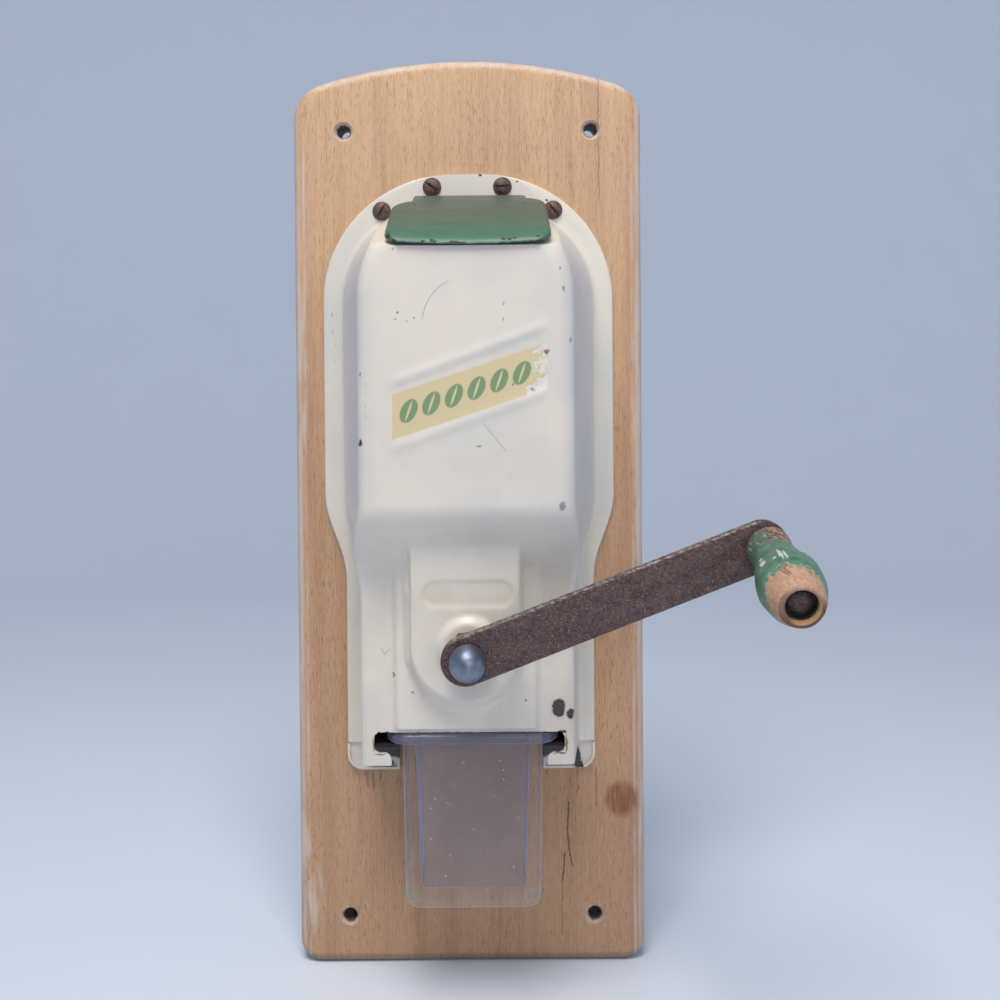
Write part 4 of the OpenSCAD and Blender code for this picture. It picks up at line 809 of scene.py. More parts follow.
def wornSpotsOn(paint):
    # stain, scuffs, rust, dots and hair lines; returns the rust and the bare steel
    paint.coat(paint.spot(*wear["recessStain"], 0.4) * 0.4, wear["yellowed"])
    scuffs = paint.marks(wear["scuffs"]) * paint.grain((0.5, 0.5, 2.2), 2, 0.6, 4.0).step(0.58, 0.66)
    paint.coat(scuffs * 0.6, wear["grey"])
    rust = paint.marks(wear["rustDots"])
    paint.coat(rust * 0.85, wear["rust"])
    paint.coat(paint.marks(wear["dots"]) * 0.6, wear["chip"])
    flat = paint.vector("MULTIPLY", paint.away(*wear["hairArc"]), (1, 0, 1))
    hair = abs(paint.length(flat) - wear["hairArcR"]).step(0.28, 0.1)
    hair = hair * paint.x.step(-5, -6.5) * paint.z.step(80, 83) * paint.y.step(-60, -70)
    paint.coat(paint.lines(wear["hairs"], 0.24, True).most(hair) * 0.5, wear["grey"])
    scraped = paint.marks(wear["scraped"])
    paint.coat(scraped * 0.9, wear["bluish"])
    return rust, scraped


def enamelFinish(name, chipsAt=(), printed=False):
    paint = Finish(name)
    broad = paint.grain(34.0, 3)
    paint.base(broad.step(0.35, 0.65), wear["cream"], wear["creamCool"])
    blotch = paint.grain((7.0, 7.0, 10.0), 4, 0.6, 11.0)
    paint.coat(paint.z.step(20, -40) * blotch.step(0.3, 0.7) * 0.25, wear["yellowed"])
    # painted reflection: a bluish tint on the hopper's steep walls, standing in for reflected blue
    # surroundings
    walls = abs(paint.x).step(*wear["wallX"]) * paint.z.step(*wear["wallFootZ"])
    walls = walls * paint.z.step(*wear["wallTopZ"]) * paint.y.step(*wear["wallY"])
    paint.coat(walls * 0.26, wear["paintedReflection"])
    specks = paint.grain(0.55, 1.0, 0.5, 5.0).step(0.742, 0.79)
    paint.coat(specks * paint.grain(16.0, 2, 0.5, 9.0).step(0.46, 0.62) * 0.5, wear["grey"])
    height = broad * 0.2 + blotch * 0.5
    gloss = blotch * 0.16 + 0.27
    if printed:
        label, bared = labelOn(paint)
        rust, scraped = wornSpotsOn(paint)
        height = height - scraped * 1.4 - rust * 0.6 - bared * 0.5
        gloss = gloss + label * 0.12
    else:
        # bare metal behind the cup slot, painted dark as painted shade where the inside is seen through the
        # slot
        bareInShade = abs(paint.x).step(*wear["insideShadeX"]) * paint.z.step(*wear["insideShadeFootZ"])
        paint.coat(bareInShade * paint.z.step(*wear["insideShadeTopZ"]) * 0.95, wear["bare"])
    if chipsAt:
        halo = paint.marks([(x, z, rx + 0.4, rz + 0.4) for x, z, rx, rz in chipsAt[:3]])
        paint.coat(halo * 0.25, wear["rust"])
        chips = paint.marks(chipsAt, 0.13)
        metal = paint.blend(paint.grain(0.8, 3, 0.6, 8.0).step(0.5, 0.75), wear["chip"], wear["rust"])
        paint.coat(chips * 0.96, metal)
        height = height - chips * 2.0
        gloss = gloss + chips * 0.35
    paint.surface(Base_Color=paint.colour, Roughness=gloss)
    paint.bump(height, 0.12)
    return paint


def makeBackPlate():
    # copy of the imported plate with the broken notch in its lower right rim
    plate = softened("backPlate", "back_plate", 0.25)
    return cut(plate, prism("notch", chipped(wear["notch"], 0.8, 0.3), *wear["notchOut"]))


caseEnamel = enamelFinish("case_enamel", wear["chips"], True)
plateEnamel = enamelFinish("plate_enamel", wear["plateChips"])
plainEnamel = enamelFinish("plain_enamel")
fit(makeCase(), "casing", caseEnamel, "front_shell")
fit(makeBackPlate(), "casing", plateEnamel, "back_plate")
fitSoftened("hingeLeaf", "hinge_leaf", 0.2, "casing", plainEnamel)
print("case done")

# Browned steel: screws, crank arm and the small pieces on the shaft

steel = {
    "brown": (92, 74, 74), "dark": (56, 42, 43), "rust": (122, 84, 66), "brightWearAndGlint": (176, 164, 156),
    "screwBrown": (110, 86, 80), "screwDark": (68, 52, 50),
    "crankAngle": 21, "armHalf": 8.5, "crankL": 110, "hubOut": 0.9, "tipIn": 1.1, "endFrom": 0.6,
    "holeClear": 6.2,
    "nutKeep": 6.3, "nutDraw": 0.5,
}
crankCos, crankSin = cosSin(steel["crankAngle"])


def brownedFinish(name, brown, dark, worn=0.0):
    metal = Finish(name)
    broad = metal.grain(7.0, 3)
    pits = metal.grain(0.95, 3, 0.65, 4.0)
    metal.base(broad.step(0.3, 0.7) * 0.5, brown, dark)
    metal.coat(pits.step(0.52, 0.64) * 0.6, steel["rust"])
    metal.coat(pits.step(0.47, 0.36) * 0.9, steel["dark"])
    # painted glints: small highlights in pale steel colour over the pitted steel
    paintedGlints = metal.grain((0.9, 0.7, 0.42), 2, 0.5, 13.0).step(0.61, 0.69)
    metal.coat(paintedGlints * 0.55, steel["brightWearAndGlint"])
    if worn:
        # rubbed bright along the arm's edges, most on the upper edge, where it is partly a painted highlight
        half = steel["armHalf"]
        over = metal.along(metal.away(0, case["shaftZ"]), (-crankSin, 0, crankCos))
        edge = over.step(half - 1.1, half - 0.25).most(over.step(0.6 - half, 0.1 - half) * 0.5)
        rubbed = metal.grain((2.0, 2.0, 1.0), 3, 0.6, 6.0).step(0.42, 0.62)
        metal.coat(edge * rubbed * worn, steel["brightWearAndGlint"])
    metal.surface(Base_Color=metal.colour, Metallic=0.35, Roughness=pits * 0.35 + 0.35)
    metal.bump(pits + paintedGlints * 0.3 + broad * 0.4, 0.3)
    return metal


def makeArm():
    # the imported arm, with both round ends a little further towards the hub's side
    piece = softened("crankArm", "crank_arm", 0.55, 3)
    along = Vector((crankCos, 0, crankSin))
    tip = along * steel["crankL"]
    for vertex in piece.data.vertices:
        away = Vector((vertex.co.x * 1000, 0, vertex.co.z * 1000 - case["shaftZ"]))
        reach = away.dot(along)
        if reach < steel["endFrom"] and away.length > steel["holeClear"]:
            vertex.co -= along * steel["hubOut"] / 1000
        elif reach > steel["crankL"] - steel["endFrom"] and (away - tip).length > steel["holeClear"]:
            vertex.co -= along * steel["tipIn"] / 1000
    return piece


def makeNut(name, node, edge):
    # a packed nut, drawn in so that the arm's hub hides it from the front
    piece = softened(name, node, edge)
    middle = Vector((0, 0, case["shaftZ"] / 1000))
    keep = steel["nutKeep"] / 1000
    for vertex in piece.data.vertices:
        away = vertex.co - middle
        away.y = 0
        past = away.length - keep
        if past > 0:
            vertex.co -= away.normalized() * past * steel["nutDraw"]
    return piece


armSteel = brownedFinish("arm_steel", steel["brown"], steel["dark"], 0.7)
nutSteel = brownedFinish("nut_steel", steel["brown"], steel["dark"])
screwSteel = brownedFinish("screw_steel", steel["screwBrown"], steel["screwDark"])
fit(makeArm(), "crank", armSteel, "crank_arm")
fit(makeNut("adjustingNut", "adjusting_nut", 0.3), "adjuster", nutSteel, "adjusting_nut")
fit(makeNut("bushNut", "bush_nut", 0.25), "casing", nutSteel, "bush_nut")
fitSoftened("lockWasher", "lock_washer", 0.25, "crank", nutSteel)
fitSoftened("knobPin", "knob_pin", 0.25, "crank", nutSteel)

# each screw's x, z and the turn of its slot; the head's profile is in shares of its radius and height
screws = {
    "headR": 3.7, "headH": 2.3, "shankR": 2.0, "shankL": 14.6, "tipL": 4, "tipR": 0.4,
    "slotHalf": 0.5, "slotLong": 5, "slotFloor": 1.1, "slotH": 4,
    "head": [(0, 1), (0.3, 0.98), (0.56, 0.87), (0.78, 0.66), (0.93, 0.38), (1, 0.14), (0.99, 0)],
    "places": [(-13.9, 134.0, -32), (13.9, 134.0, 4), (-33.8, 124.7, 58), (33.8, 124.7, -50)],
}


def makeScrews():
    made = []
    shankR, shankL = screws["shankR"], screws["shankL"]
    profile = [(screws["headR"] * r, screws["headH"] * h) for r, h in screws["head"]]
    profile += [(shankR, 0), (shankR, screws["tipL"] - shankL), (screws["tipR"], -shankL), (0, -shankL)]
    reach, half = screws["slotLong"], screws["slotHalf"]
    bar = [(reach, half), (-reach, half), (-reach, -half), (reach, -half)]
    low = case["flangeOut"] + screws["slotFloor"]
    for x, z, lean in screws["places"]:
        head = lathe("head", profile, onWall(x, z, case["flangeOut"]), steps=40)
        c, s = cosSin(lean)
        outline = [(x + a * c - b * s, z + a * s + b * c) for a, b in bar]
        made.append(cut(head, prism("screwSlot", outline, low, low + screws["slotH"])))
    return joined("flangeScrews", made)


fit(makeScrews(), "casing", screwSteel, "flange_screws")

nickel = {
    "r": 6.4, "h": 8.6, "out": 69.2, "hole": 2.75, "holeDepth": 5.65, "rimStep": 0.12,
    # the nickel's shades are tinted blue: a painted bluish reflection
    "light": (134, 144, 162), "dull": (92, 98, 112),
}


def makeDomeNut():
    r, rim, step = nickel["r"], nickel["h"] - nickel["r"], nickel["rimStep"]
    profile = [(0, nickel["holeDepth"]), (nickel["hole"], nickel["holeDepth"]), (nickel["hole"], 0),
               (r - 0.5, 0), (r, 0.4), (r, rim - 0.35), (r - step, rim - 0.1)]
    for a in range(5, 90, 5):
        c, s = cosSin(a)
        profile.append((r * c - step * (1 - a / 90), rim + r * s))
    return lathe("domeNut", profile + [(0, nickel["h"])], onWall(0, case["shaftZ"], nickel["out"]), steps=64)


def nickelFinish():
    metal = Finish("worn_nickel")
    broad = metal.grain(2.6, 3)
    fine = metal.grain(0.35, 2, 0.6, 5.0)
    # shades tinted blue as a painted reflection, varied at random
    metal.base(broad.step(0.4, 0.7) * 0.6, nickel["light"], nickel["dull"])
    metal.coat(fine.step(0.62, 0.72) * 0.4, steel["brown"])
    metal.surface(Base_Color=metal.colour, Metallic=0.92, Roughness=broad * 0.2 + 0.32)
    metal.bump(fine, 0.02)
    return metal


fit(makeDomeNut(), "crank", nickelFinish(), "dome_nut")
print("steel pieces done")

# Lid

lid = {
    "angle": 20, "hingeOut": 7.4, "hingeZ": 126.461, "over": 3.2, "sheet": 1.0, "half": 29.2, "shift": 1.0,
    "tongueHalf": 22.2, "shoulders": {-1: (7.0, 12.0), 1: (3.0, 9.0)}, "cornerR": 6,
    "lipOut": 61.6, "lipZ": 107.2,
    "startPull": 37, "startAngle": 17, "lipPull": 4.4, "rows": 44, "columns": 24,
    "skirt": 2.0, "rear": -2, "edgeR": 1.7, "footRise": 1.2, "riseFrom": 20,
    "knuckleR": 2.0, "knuckleHalf": 15, "pinHole": 1.28, "webT": 0.7, "webUnder": 0.5,
    "green": (70, 111, 89), "greyedAndSheen": (74, 91, 81), "deep": (50, 88, 72), "pale": (120, 132, 120),
    "chip": (50, 42, 46), "greyZ": (123, 109.5), "bareZ": (107.7, 107.2),
    "chips": [(-26.6, 110.6, 0.5, 1.0), (-24.8, 108.3, 1.4, 0.5), (-14.6, 108.4, 0.7, 0.4),
              (-11.0, 108.5, 1.3, 0.35), (-3.0, 107.9, 3.0, 0.35), (13.4, 108.9, 0.6, 0.4),
              (15.6, 109.0, 0.8, 0.4), (17.4, 109.2, 0.6, 0.4), (25.6, 109.8, 0.8, 0.3),
              (-19.6, 125.0, 0.6, 0.4), (21.6, 125.4, 0.5, 0.3)],
}
lidCos, lidSin = cosSin(lid["angle"])


def onSlope(u, v):
    # height and depth of a point u down the slope from the hinge and v above it
    return (lid["hingeZ"] - u * lidSin + v * lidCos, lid["hingeOut"] + u * lidCos + v * lidSin)


def alongSlope(z, out):
    return (out - lid["hingeOut"]) * lidCos - (z - lid["hingeZ"]) * lidSin


def lidHalfAt(u, reach, side):
    tongue, r = lid["shoulders"][side]
    rear, front = tongue + r, reach - lid["cornerR"]
    if u < rear:
        wide = lid["half"] - r + math.sqrt(max(r ** 2 - (rear - u) ** 2, 0))
        return max(softMax(wide, lid["tongueHalf"], 1.5), lid["tongueHalf"])
    past = max(u - front, 0)
    return lid["half"] - lid["cornerR"] + math.sqrt(max(lid["cornerR"] ** 2 - past ** 2, 0))


def lidProfile():
    # outer skin from the hinge to the front edge, one smooth curve: height, depth and the way out of the skin
    c, s = cosSin(lid["startAngle"])
    first, last = onSlope(lid["rear"], lid["over"]), (lid["lipZ"], lid["lipOut"])
    second = (first[0] - lid["startPull"] * s, first[1] + lid["startPull"] * c)
    third = (lid["lipZ"] + lid["lipPull"], lid["lipOut"])
    pulls = list(zip(first, second, third, last))
    rows = []
    for i in range(lid["rows"] + 1):
        t = i / lid["rows"]
        s = 1 - t
        z, out = [s ** 3 * a + 3 * s * s * t * b + 3 * s * t * t * c + t ** 3 * d for a, b, c, d in pulls]
        dz, dOut = [s * s * (b - a) + 2 * s * t * (c - b) + t * t * (d - c) for a, b, c, d in pulls]
        length = math.hypot(dz, dOut)
        rows.append((z, out, dOut / length, -dz / length))
    return rows


def lidRing(row, reach):
    z, out, upZ, upOut = row
    u = alongSlope(z, out)
    r, t, count = lid["edgeR"], lid["sheet"], lid["columns"]
    rise = lid["footRise"] * ease(u, reach - lid["riseFrom"], reach)

    def skin(inset, side):
        half = lidHalfAt(u, reach, side)
        points = [((half - r) * i / count, inset) for i in range(count)]
        turns = map(cosSin, range(0, 91, 15))
        points += [(half - r + (r - inset) * s, r - (r - inset) * c) for c, s in turns]
        return [(side * x, drop) for x, drop in points + [(half - inset, lid["skirt"])]]

    sides = skin(0, -1)[:0:-1] + skin(0, 1) + skin(t, 1)[::-1] + skin(t, -1)[1:]
    return [onWall(x + lid["shift"], z - drop * upZ + rise * (x / lid["half"]) ** 2, out - drop * upOut)
            for x, drop in sides]


def makeLid():
    rows = lidProfile()
    reach = alongSlope(*rows[-1][:2]) + 0.4
    pan = makePiece("pan", *loft([lidRing(row, reach) for row in rows]), 40)
    half, hole, r = lid["knuckleHalf"], lid["pinHole"], lid["knuckleR"]
    ring = [(hole, -half), (r, -half), (r, half), (hole, half)]
    curl = lathe("curl", ring, onWall(0, lid["hingeZ"], lid["hingeOut"]), (1, 0, 0), 28, True)
    front, top = lid["webT"] - r, lid["over"] - lid["webUnder"]
    strap = [onSlope(-r, 0), onSlope(front, 0), onSlope(front, top), onSlope(-r, top)]
    web = prism("web", strap, -half, half, lambda z, out, x: onWall(x, z, out))
    return joined("lid", [pan, curl, web], 40)


def lidFinish():
    paint = Finish("lid_paint", 0.6)
    # the top is painted grey-green and the front green: the grey is partly dust and wear, partly a painted
    # sheen
    worn = paint.grain((14.0, 8.0, 3.0), 3)
    front = (paint.z + (worn - 0.5) * 9).step(*lid["greyZ"])
    paint.base(front, lid["greyedAndSheen"], lid["green"])
    paint.coat(paint.grain(9.0, 3, 0.6, 4.0).step(0.45, 0.75) * 0.45, lid["deep"])
    scratches = paint.grain((26.0, 0.55, 0.35), 2, 0.6, 2.0).step(0.6, 0.68)
    paint.coat(scratches * (1 - front * 0.7) * 0.35, lid["pale"])
    dust = paint.grain(0.9, 3, 0.6, 12.0).step(0.56, 0.72)
    paint.coat(dust * (1 - front) * 0.3, lid["pale"])
    # the lip, bare along its foot, which rises towards the corners
    across = paint.x - lid["shift"]
    level = paint.z - across * across * (lid["footRise"] / lid["half"] ** 2)
    edge = (level + (paint.grain((1.6, 1.6, 1.0), 3, 0.6, 3.0) - 0.5) * 1.6).step(*lid["bareZ"])
    chips = paint.marks(lid["chips"], 0.2).most(edge)
    paint.coat(chips * 0.92, lid["chip"])
    paint.surface(Base_Color=paint.colour, Roughness=worn * 0.16 + dust * 0.1 + 0.38 + chips * 0.2)
    paint.bump(worn * 0.5 - scratches * 0.4 - chips * 1.6, 0.1)
    return paint


fit(makeLid(), "lid_body", lidFinish(), "lid")
print("lid done")

# Crank knob

# flakes and scratches are given by their place across the knob and along it
knob = {
    "pin": (102.694, -86.0, 3.42), "axis": (0.0, -0.97437, -0.224951), "from": 2.155, "length": 46.0,
    "collarL": 2.8, "neckAt": 9.2, "bellyAt": 30.4, "collarR": 7.6, "neckR": 7.3, "bellyR": 10.7, "endR": 7.1,
    "sinkR": 5.1, "sinkDepth": 5.0, "bore": 3.08, "uneven": 0.22,
    "rows": [1.6 + 0.9 * i for i in range(46)] + [43.4, 44.2, 44.9],
    "green": (94, 132, 108), "greenDeep": (66, 102, 83), "wood": (190, 156, 126), "woodRed": (170, 124, 100),
    "brown": (84, 56, 50), "ring": (140, 108, 96), "tan": (180, 140, 96), "pale": (206, 206, 192),
    "dark": (44, 34, 33), "bareFrom": (41.2, 41.7), "paleRim": (39.9, 41.0), "rubbedNeck": (13.2, 10.4),
    "greenNeckX": (103.5, 97.5), "endFrom": (45.2, 45.7), "sinkFrom": (38, 41), "crescentFrom": (44.1, 44.7),
    "flakes": [(-3.3, 28.4, 0.55, 4.4), (-2.0, 29.6, 0.4, 3.4), (-8.2, 23.6, 0.6, 1.2),
               (-8.4, 27.4, 0.8, 1.7), (4.2, 25.6, 1.1, 0.9), (-10.0, 21.0, 0.5, 2.4),
               (-5.4, 29.8, 0.4, 0.6), (5.4, 28.0, 0.4, 0.8)],
    "scratches": [((-6.0, 35.5), (-3.2, 41.5)), ((-4.6, 36.0), (-2.6, 41.0)), ((-3.0, 34.5), (-4.2, 39.0))],
}
knobStart = Vector(knob["pin"]) + Vector(knob["axis"]) * knob["from"]


def knobRadius(s):
    if s < knob["neckAt"]:
        return mix(knob["collarR"], knob["neckR"], ease(s, knob["collarL"], knob["neckAt"]))
    if s < knob["bellyAt"]:
        return mix(knob["neckR"], knob["bellyR"], ease(s, knob["neckAt"], knob["bellyAt"]))
    past = (s - knob["bellyAt"]) / (knob["length"] - knob["bellyAt"])
    return knob["endR"] + (knob["bellyR"] - knob["endR"]) * (1 - past ** 2)


def makeKnob():
    length, sink = knob["length"], knob["length"] - knob["sinkDepth"]
    collar, end, sinkR, bore = knob["collarR"], knob["endR"], knob["sinkR"], knob["bore"]
    profile = [(bore, 0), (collar - 0.7, 0), (collar - 0.2, 0.2), (collar, 0.7)]
    profile += [(knobRadius(s), s) for s in knob["rows"]]
    profile += [(end + 0.1, length - 0.4), (end - 0.5, length), (sinkR + 1.0, length),
                (sinkR + 0.4, length - 0.4), (sinkR, length - 1.3), (sinkR, sink), (bore, sink)]
    return lathe("knob", profile, knobStart, knob["axis"], 72, True, knob["uneven"])


def knobFinish():
    paint = Finish("knob_paint", 0.7)
    away = paint.vector("SUBTRACT", paint.place, tuple(knobStart))
    along = paint.along(away, knob["axis"])
    over = paint.along(away, (0.0, -knob["axis"][2], knob["axis"][1])) * -1
    side = paint.x - knob["pin"][0]
    radius = paint.length(paint.vector("CROSS_PRODUCT", away, knob["axis"]))
    patchy = paint.grain(3.4, 4, 0.6)
    flaky = paint.grain(1.3, 3, 0.65, 6.0)
    ragged = flaky - 0.5
    fibres = paint.grain((1.0, 6.0, 1.0), 3, 0.6, 3.0).step(0.3, 0.75)
    bare = paint.blend(fibres, knob["wood"], knob["woodRed"])
    paint.base(patchy.step(0.35, 0.7), knob["green"], knob["greenDeep"])
    # paint worn through near the end, most on the upper side
    through = along + over * 0.42 - side * 0.26 + (patchy - 0.5) * 6 + ragged * 4
    gone = through.step(*knob["bareFrom"])
    paint.coat(gone, bare)
    rim = through.step(*knob["paleRim"]) * (1 - gone)
    paint.coat(rim * flaky.step(0.42, 0.6) * 0.5, knob["pale"])
    upper = over.step(-3, 0)
    scored = []
    for (a, b), (c, d) in knob["scratches"]:
        off = abs(side - a - (along - b) * ((c - a) / (d - b)) + ragged * 1.4).step(0.45, 0.15)
        scored.append(off * along.step(b, b + 0.8) * along.step(d, d - 0.8))
    paint.coat(mostOf(scored) * upper * gone * 0.6, knob["brown"])
    flakes = []
    for a, b, halfSide, halfAlong in knob["flakes"]:
        u, v = (side - a + ragged * 2) / halfSide, (along - b) / halfAlong
        flakes.append((u * u + v * v).step(1.3, 0.7))
    flakes = mostOf(flakes) * upper
    paint.coat(flakes * 0.9, knob["pale"])
    # neck rubbed down to dark wood
    rubbed = (along + (patchy - 0.5) * 7).step(*knob["rubbedNeck"])
    neckTone = paint.blend(flaky.step(0.4, 0.62), knob["brown"], knob["woodRed"])
    neckTone = paint.blend(paint.x.step(*knob["greenNeckX"]) * 0.85, neckTone, knob["greenDeep"])
    paint.coat(rubbed * 0.9, neckTone)
    worn = paint.grain((1.1, 3.0, 1.1), 3, 0.6, 9.0).step(0.58, 0.68)
    paint.coat(rubbed * worn * 0.6, knob["pale"])
    # the end: a dark ring, the sunk hole painted dark as painted shade, and a tan crescent in its mouth
    ending = (along + ragged * 0.8).step(*knob["endFrom"])
    ring = paint.blend((over - side * 0.6).step(-3, 6) * 0.9, knob["brown"], knob["ring"])
    paint.coat(ending * (over + side * 0.35).step(6.5, 1.0) * 0.9, ring)
    sinkR = knob["sinkR"]
    sunk = radius.step(sinkR + 0.4, sinkR + 0.1) * along.step(*knob["sinkFrom"])
    paint.coat(sunk * 0.9, knob["dark"])
    crescent = radius.step(sinkR - 0.3, sinkR) * radius.step(sinkR + 1.1, sinkR + 0.7)
    crescent = crescent * (along + ragged * 1.2).step(*knob["crescentFrom"]) * (side - over).step(-0.5, 4.0)
    paint.coat(crescent * 0.85, knob["tan"])
    paint.surface(Base_Color=paint.colour, Roughness=flaky * 0.2 + gone * 0.2 + 0.3)
    paint.bump(gone * -1.2 - flakes * 0.8 + flaky * 0.4 - rubbed * 0.8, 0.14)
    return paint


fit(makeKnob(), "knob", knobFinish(), "crank_knob")
print("knob done")

# Coffee cup

cup = {
    "x": 1.0, "y": -40.75, "top": -69.3, "foot": -134.5, "halfTop": 25.9, "halfFoot": 24.9, "depth": 18.75,
    "rimHalf": 31.5, "rimT": 4.0, "rimLip": 2.0, "rimR": 1.7, "corner": 6.0, "innerCorner": 2.8, "footR": 3.0,
    "wall": 4.5, "wallMore": 1.2, "floor": 5.4, "floorR": 1.4,
    "mouthEdge": 0.5, "neckEdge": 0.4, "wallSteps": 8,
    "clear": (206, 202, 200), "edge": (206, 216, 244), "rim": (112, 114, 134), "block": (128, 142, 132),
    "haze": (150, 134, 137), "hazeDeep": (134, 117, 119), "dust": (226, 226, 232), "edgeLineReflection": (172, 188, 250),
    "ior": 1.46, "frontY": (-48, -52), "blockX": (18.4, 19.2), "blockFootZ": (-131.6, -131.0),
    "blockTopZ": (-127.0, -127.6), "blockY": (-46, -52), "speckSize": 0.7,
    "specks": [(-2.4, -81.9, 0.5, 0.4), (11.1, -81.4, 0.5, 0.4), (12.4, -84.7, 0.4, 0.4),
               (12.4, -88.3, 0.4, 0.5), (-12.9, -95.4, 0.5, 0.4), (-14.6, -98.9, 0.5, 0.4),
               (-8.3, -97.0, 0.35, 0.35), (1.2, -106.9, 0.4, 0.4), (17.6, -102.6, 0.35, 0.4),
               (15.9, -121.1, 0.45, 0.4), (-9.3, -124.4, 0.5, 0.4), (-5.4, -90.6, 0.4, 0.3),
               (-14.6, -110.4, 0.35, 0.35), (6.2, -115.0, 0.3, 0.3), (8.8, -94.2, 0.3, 0.3)],
}


def cupRings():
    # rings up the outside, round the rim and down the inside; also how many are outside
    rings = []
    top, foot, rimFoot, steps = cup["top"], cup["foot"], cup["top"] - cup["rimT"], cup["wallSteps"]

    def at(hx, hy, corner, z):
        rings.append([(cup["x"] + x, cup["y"] + y, z) for x, y in roundRect(hx, hy, corner, 8)])

    def outerHalf(z):
        return mix(cup["halfFoot"], cup["halfTop"], ramp(z, foot, top))

    def outer(z, inset=0.0):
        at(outerHalf(z) - inset, cup["depth"] - inset, cup["corner"] - inset, z)

    def inner(z, inset=0.0):
        thick = cup["wall"] + cup["wallMore"] * ramp(z, top, foot) + inset
        at(outerHalf(z) - thick, cup["depth"] - thick, max(cup["innerCorner"] - inset * 0.6, 0.8), z)

    r = cup["footR"]
    for i in range(7):
        c, s = cosSin(15 * i)
        outer(foot + r * (1 - c), r * (1 - s))
    for i in range(1, steps + 1):
        outer(mix(foot + r, rimFoot - cup["neckEdge"], i / steps))
    outer(rimFoot, -cup["neckEdge"])
    r, lip = cup["rimR"], cup["rimLip"]
    for start, way, turns in ((rimFoot, 1, (0, 30, 60, 90)), (top, -1, (90, 60, 30, 0))):
        for c, s in map(cosSin, turns):
            inset = r * (1 - s)
            deep, corner = cup["depth"] + lip - inset, cup["corner"] + lip - inset
            at(cup["rimHalf"] - inset, deep, corner, start + way * r * (1 - c))
    outside = len(rings)
    mouth, floorZ, r = cup["mouthEdge"], foot + cup["floor"], cup["floorR"]
    inner(top, -mouth)
    for i in range(steps + 1):
        inner(mix(top - mouth, floorZ + r, i / steps))
    for c, s in map(cosSin, (30, 60, 90)):
        inner(floorZ + r * (1 - s), r * (1 - c))
    return rings, outside


def clearFinish():
    # see-through plastic: clearest face on, with a painted pale cool reflection where it is seen edge on
    clear = Finish("cup_clear")
    edge = clear.node("ShaderNodeLayerWeight", {}, {"Blend": 0.5}, "Facing").step(0.55, 0.95)
    worn = clear.grain(5.0, 4, 0.6)
    scratches = clear.grain((0.4, 0.4, 7.0), 2, 0.5, 3.0).step(0.66, 0.72)
    rimFoot = cup["top"] - cup["rimT"]
    rim = clear.z.step(rimFoot - 0.4, rimFoot + 0.2)
    # the thick clear blocks in the lower corners
    block = abs(clear.x - cup["x"]).step(*cup["blockX"]) * clear.z.step(*cup["blockFootZ"])
    block = block * clear.z.step(*cup["blockTopZ"]) * clear.y.step(*cup["blockY"])
    clear.base(worn.step(0.4, 0.8) * 0.3, cup["clear"], cup["dust"])
    clear.coat(block * 0.9, cup["block"])
    clear.coat(rim, cup["rim"])
    clear.coat(edge * 0.8, cup["edge"])
    cover = edge * 0.64 + worn * 0.1 + scratches * 0.1 + rim * 0.5 + block * 0.32 + 0.03
    clear.surface(Base_Color=clear.colour, Alpha=cover, Roughness=worn * 0.1 + 0.08, IOR=cup["ior"])
    return clear


def hazeFinish():
    # the dusty inner faces, their grey partly dust and partly painted shade inside the cup, with painted pale
    # reflection lines where they are seen edge on
    haze = Finish("cup_haze")
    edge = haze.node("ShaderNodeLayerWeight", {}, {"Blend": 0.5}, "Facing").step(0.6, 0.92)
    broad = haze.grain((16.0, 16.0, 22.0), 3, 0.5)
    haze.base(broad.step(0.35, 0.7), cup["haze"], cup["hazeDeep"])
    front = haze.y.step(*cup["frontY"])
    spots = [(x, z, rx * cup["speckSize"], rz * cup["speckSize"]) for x, z, rx, rz in cup["specks"]]
    specks = haze.marks(spots, 0.4, True) * front
    fine = haze.grain(0.8, 1, 0.5, 19.0).step(0.66, 0.73) * front
    haze.coat((specks * 0.7).most(fine * 0.45), cup["dust"])
    haze.coat(edge * 0.9, cup["edgeLineReflection"])
    cover = broad * 0.25 + specks * 0.4 + edge * 0.7 + 0.24
    haze.surface(Base_Color=haze.colour, Alpha=cover, Roughness=0.35, IOR=cup["ior"])
    return haze


def fitCup():
    rings, outside = cupRings()
    piece = makePiece("cup", *loft(rings), 40)
    fit(piece, "cup", clearFinish(), "coffee_cup")
    piece.data.materials.append(hazeFinish().material)
    for face in piece.data.polygons:
        lowest = min(v // len(rings[0]) for v in face.vertices)
        face.material_index = 1 if lowest > outside else 0


fitCup()
print("cup done")

# Pieces inside the case

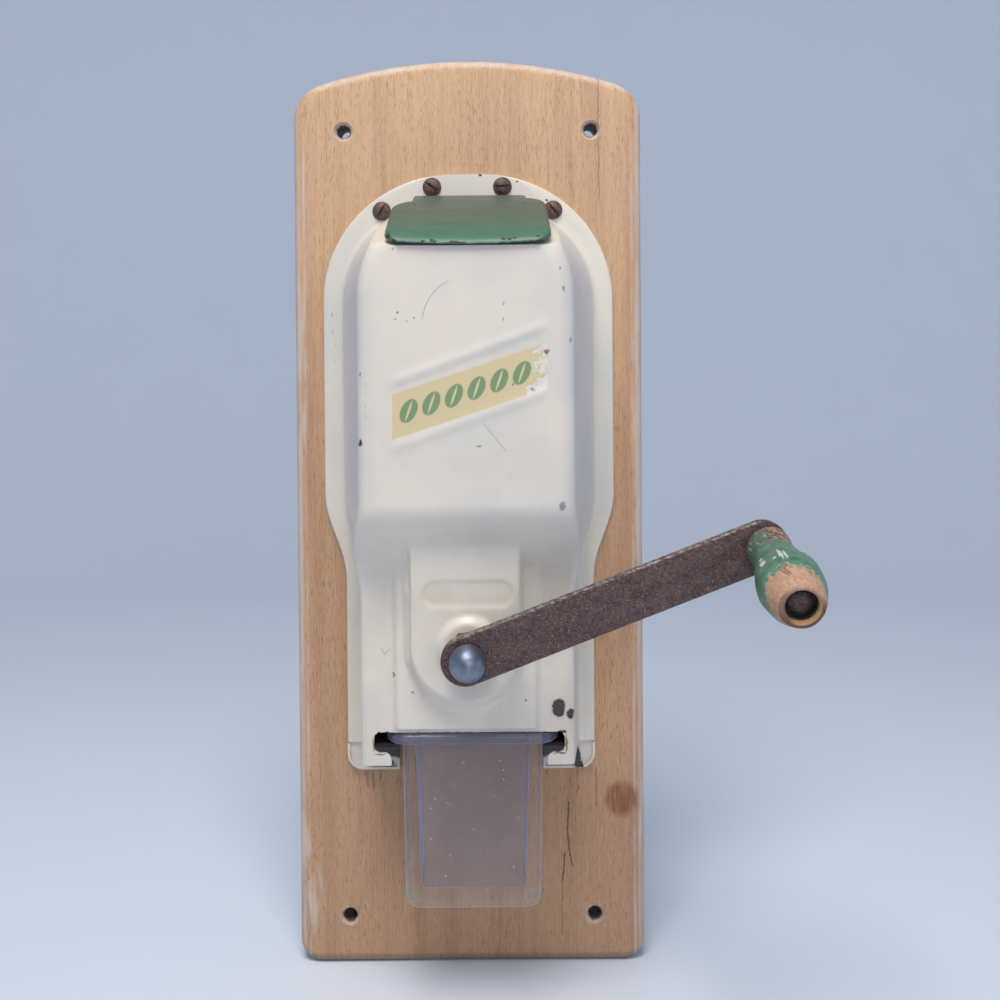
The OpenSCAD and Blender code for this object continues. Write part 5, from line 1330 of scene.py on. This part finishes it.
# each metal's two shades, metallic, roughness and grain size
inside = {
    "sheet_steel": ((150, 148, 146), (112, 106, 102), 0.8, 0.32, 0.8),
    # rail steel: rusty, and painted near black as painted shade inside the cup slot
    "rail_steel": ((40, 32, 30), (28, 22, 22), 0.2, 0.65, 0.9),
    "bare_steel": ((168, 164, 160), (118, 110, 104), 0.9, 0.25, 0.6),
    "grinder_iron": ((84, 84, 86), (60, 58, 58), 0.5, 0.5, 1.2),
    "burr_steel": ((112, 112, 114), (76, 74, 74), 0.85, 0.3, 0.5),
    "bush_brass": ((186, 150, 86), (140, 106, 58), 0.95, 0.25, 0.7),
}
funnelDraw = 0.0019


def metalFinish(name):
    light, dark, metallic, rough, size = inside[name]
    metal = Finish(name)
    broad = metal.grain(size * 9, 3)
    fine = metal.grain(size, 3, 0.6, 5.0)
    metal.base(broad.step(0.3, 0.7), light, dark)
    metal.coat(fine.step(0.6, 0.75) * 0.4, steel["rust"])
    metal.surface(Base_Color=metal.colour, Metallic=metallic, Roughness=fine * 0.25 + rough)
    metal.bump(fine, 0.05)
    return metal


def makeFunnel():
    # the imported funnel, narrowed towards the front to stay clear of the hopper's walls
    piece = softened("hopperFunnel", "hopper_funnel", 0.2)
    for vertex in piece.data.vertices:
        vertex.co.x *= 1 - funnelDraw * (-vertex.co.y * 1000 - boardFront)
    return piece


metals = {name: metalFinish(name) for name in inside}
fit(makeFunnel(), "casing", metals["sheet_steel"], "hopper_funnel")
fitSoftened("railLeft", "cup_rail_left", 0.2, "casing", metals["rail_steel"])
fitSoftened("railRight", "cup_rail_right", 0.2, "casing", metals["rail_steel"])
fitSoftened("burrHousing", "burr_housing", 0.4, "casing", metals["grinder_iron"])
fitSoftened("thrustWasher", "thrust_washer", 0.2, "grind_slide", metals["bush_brass"])
dress(metals["bare_steel"], "hinge_pin", "leaf_rivets", "funnel_rivets", "burr_pin", "drive_shaft",
      "thrust_spring", "rail_rivets")
dress(screwSteel, "housing_screws")
dress(metals["burr_steel"], "ring_burr", "cone_burr")
dress(metals["bush_brass"], "front_bush", "rear_bush")
print("inner pieces dressed")
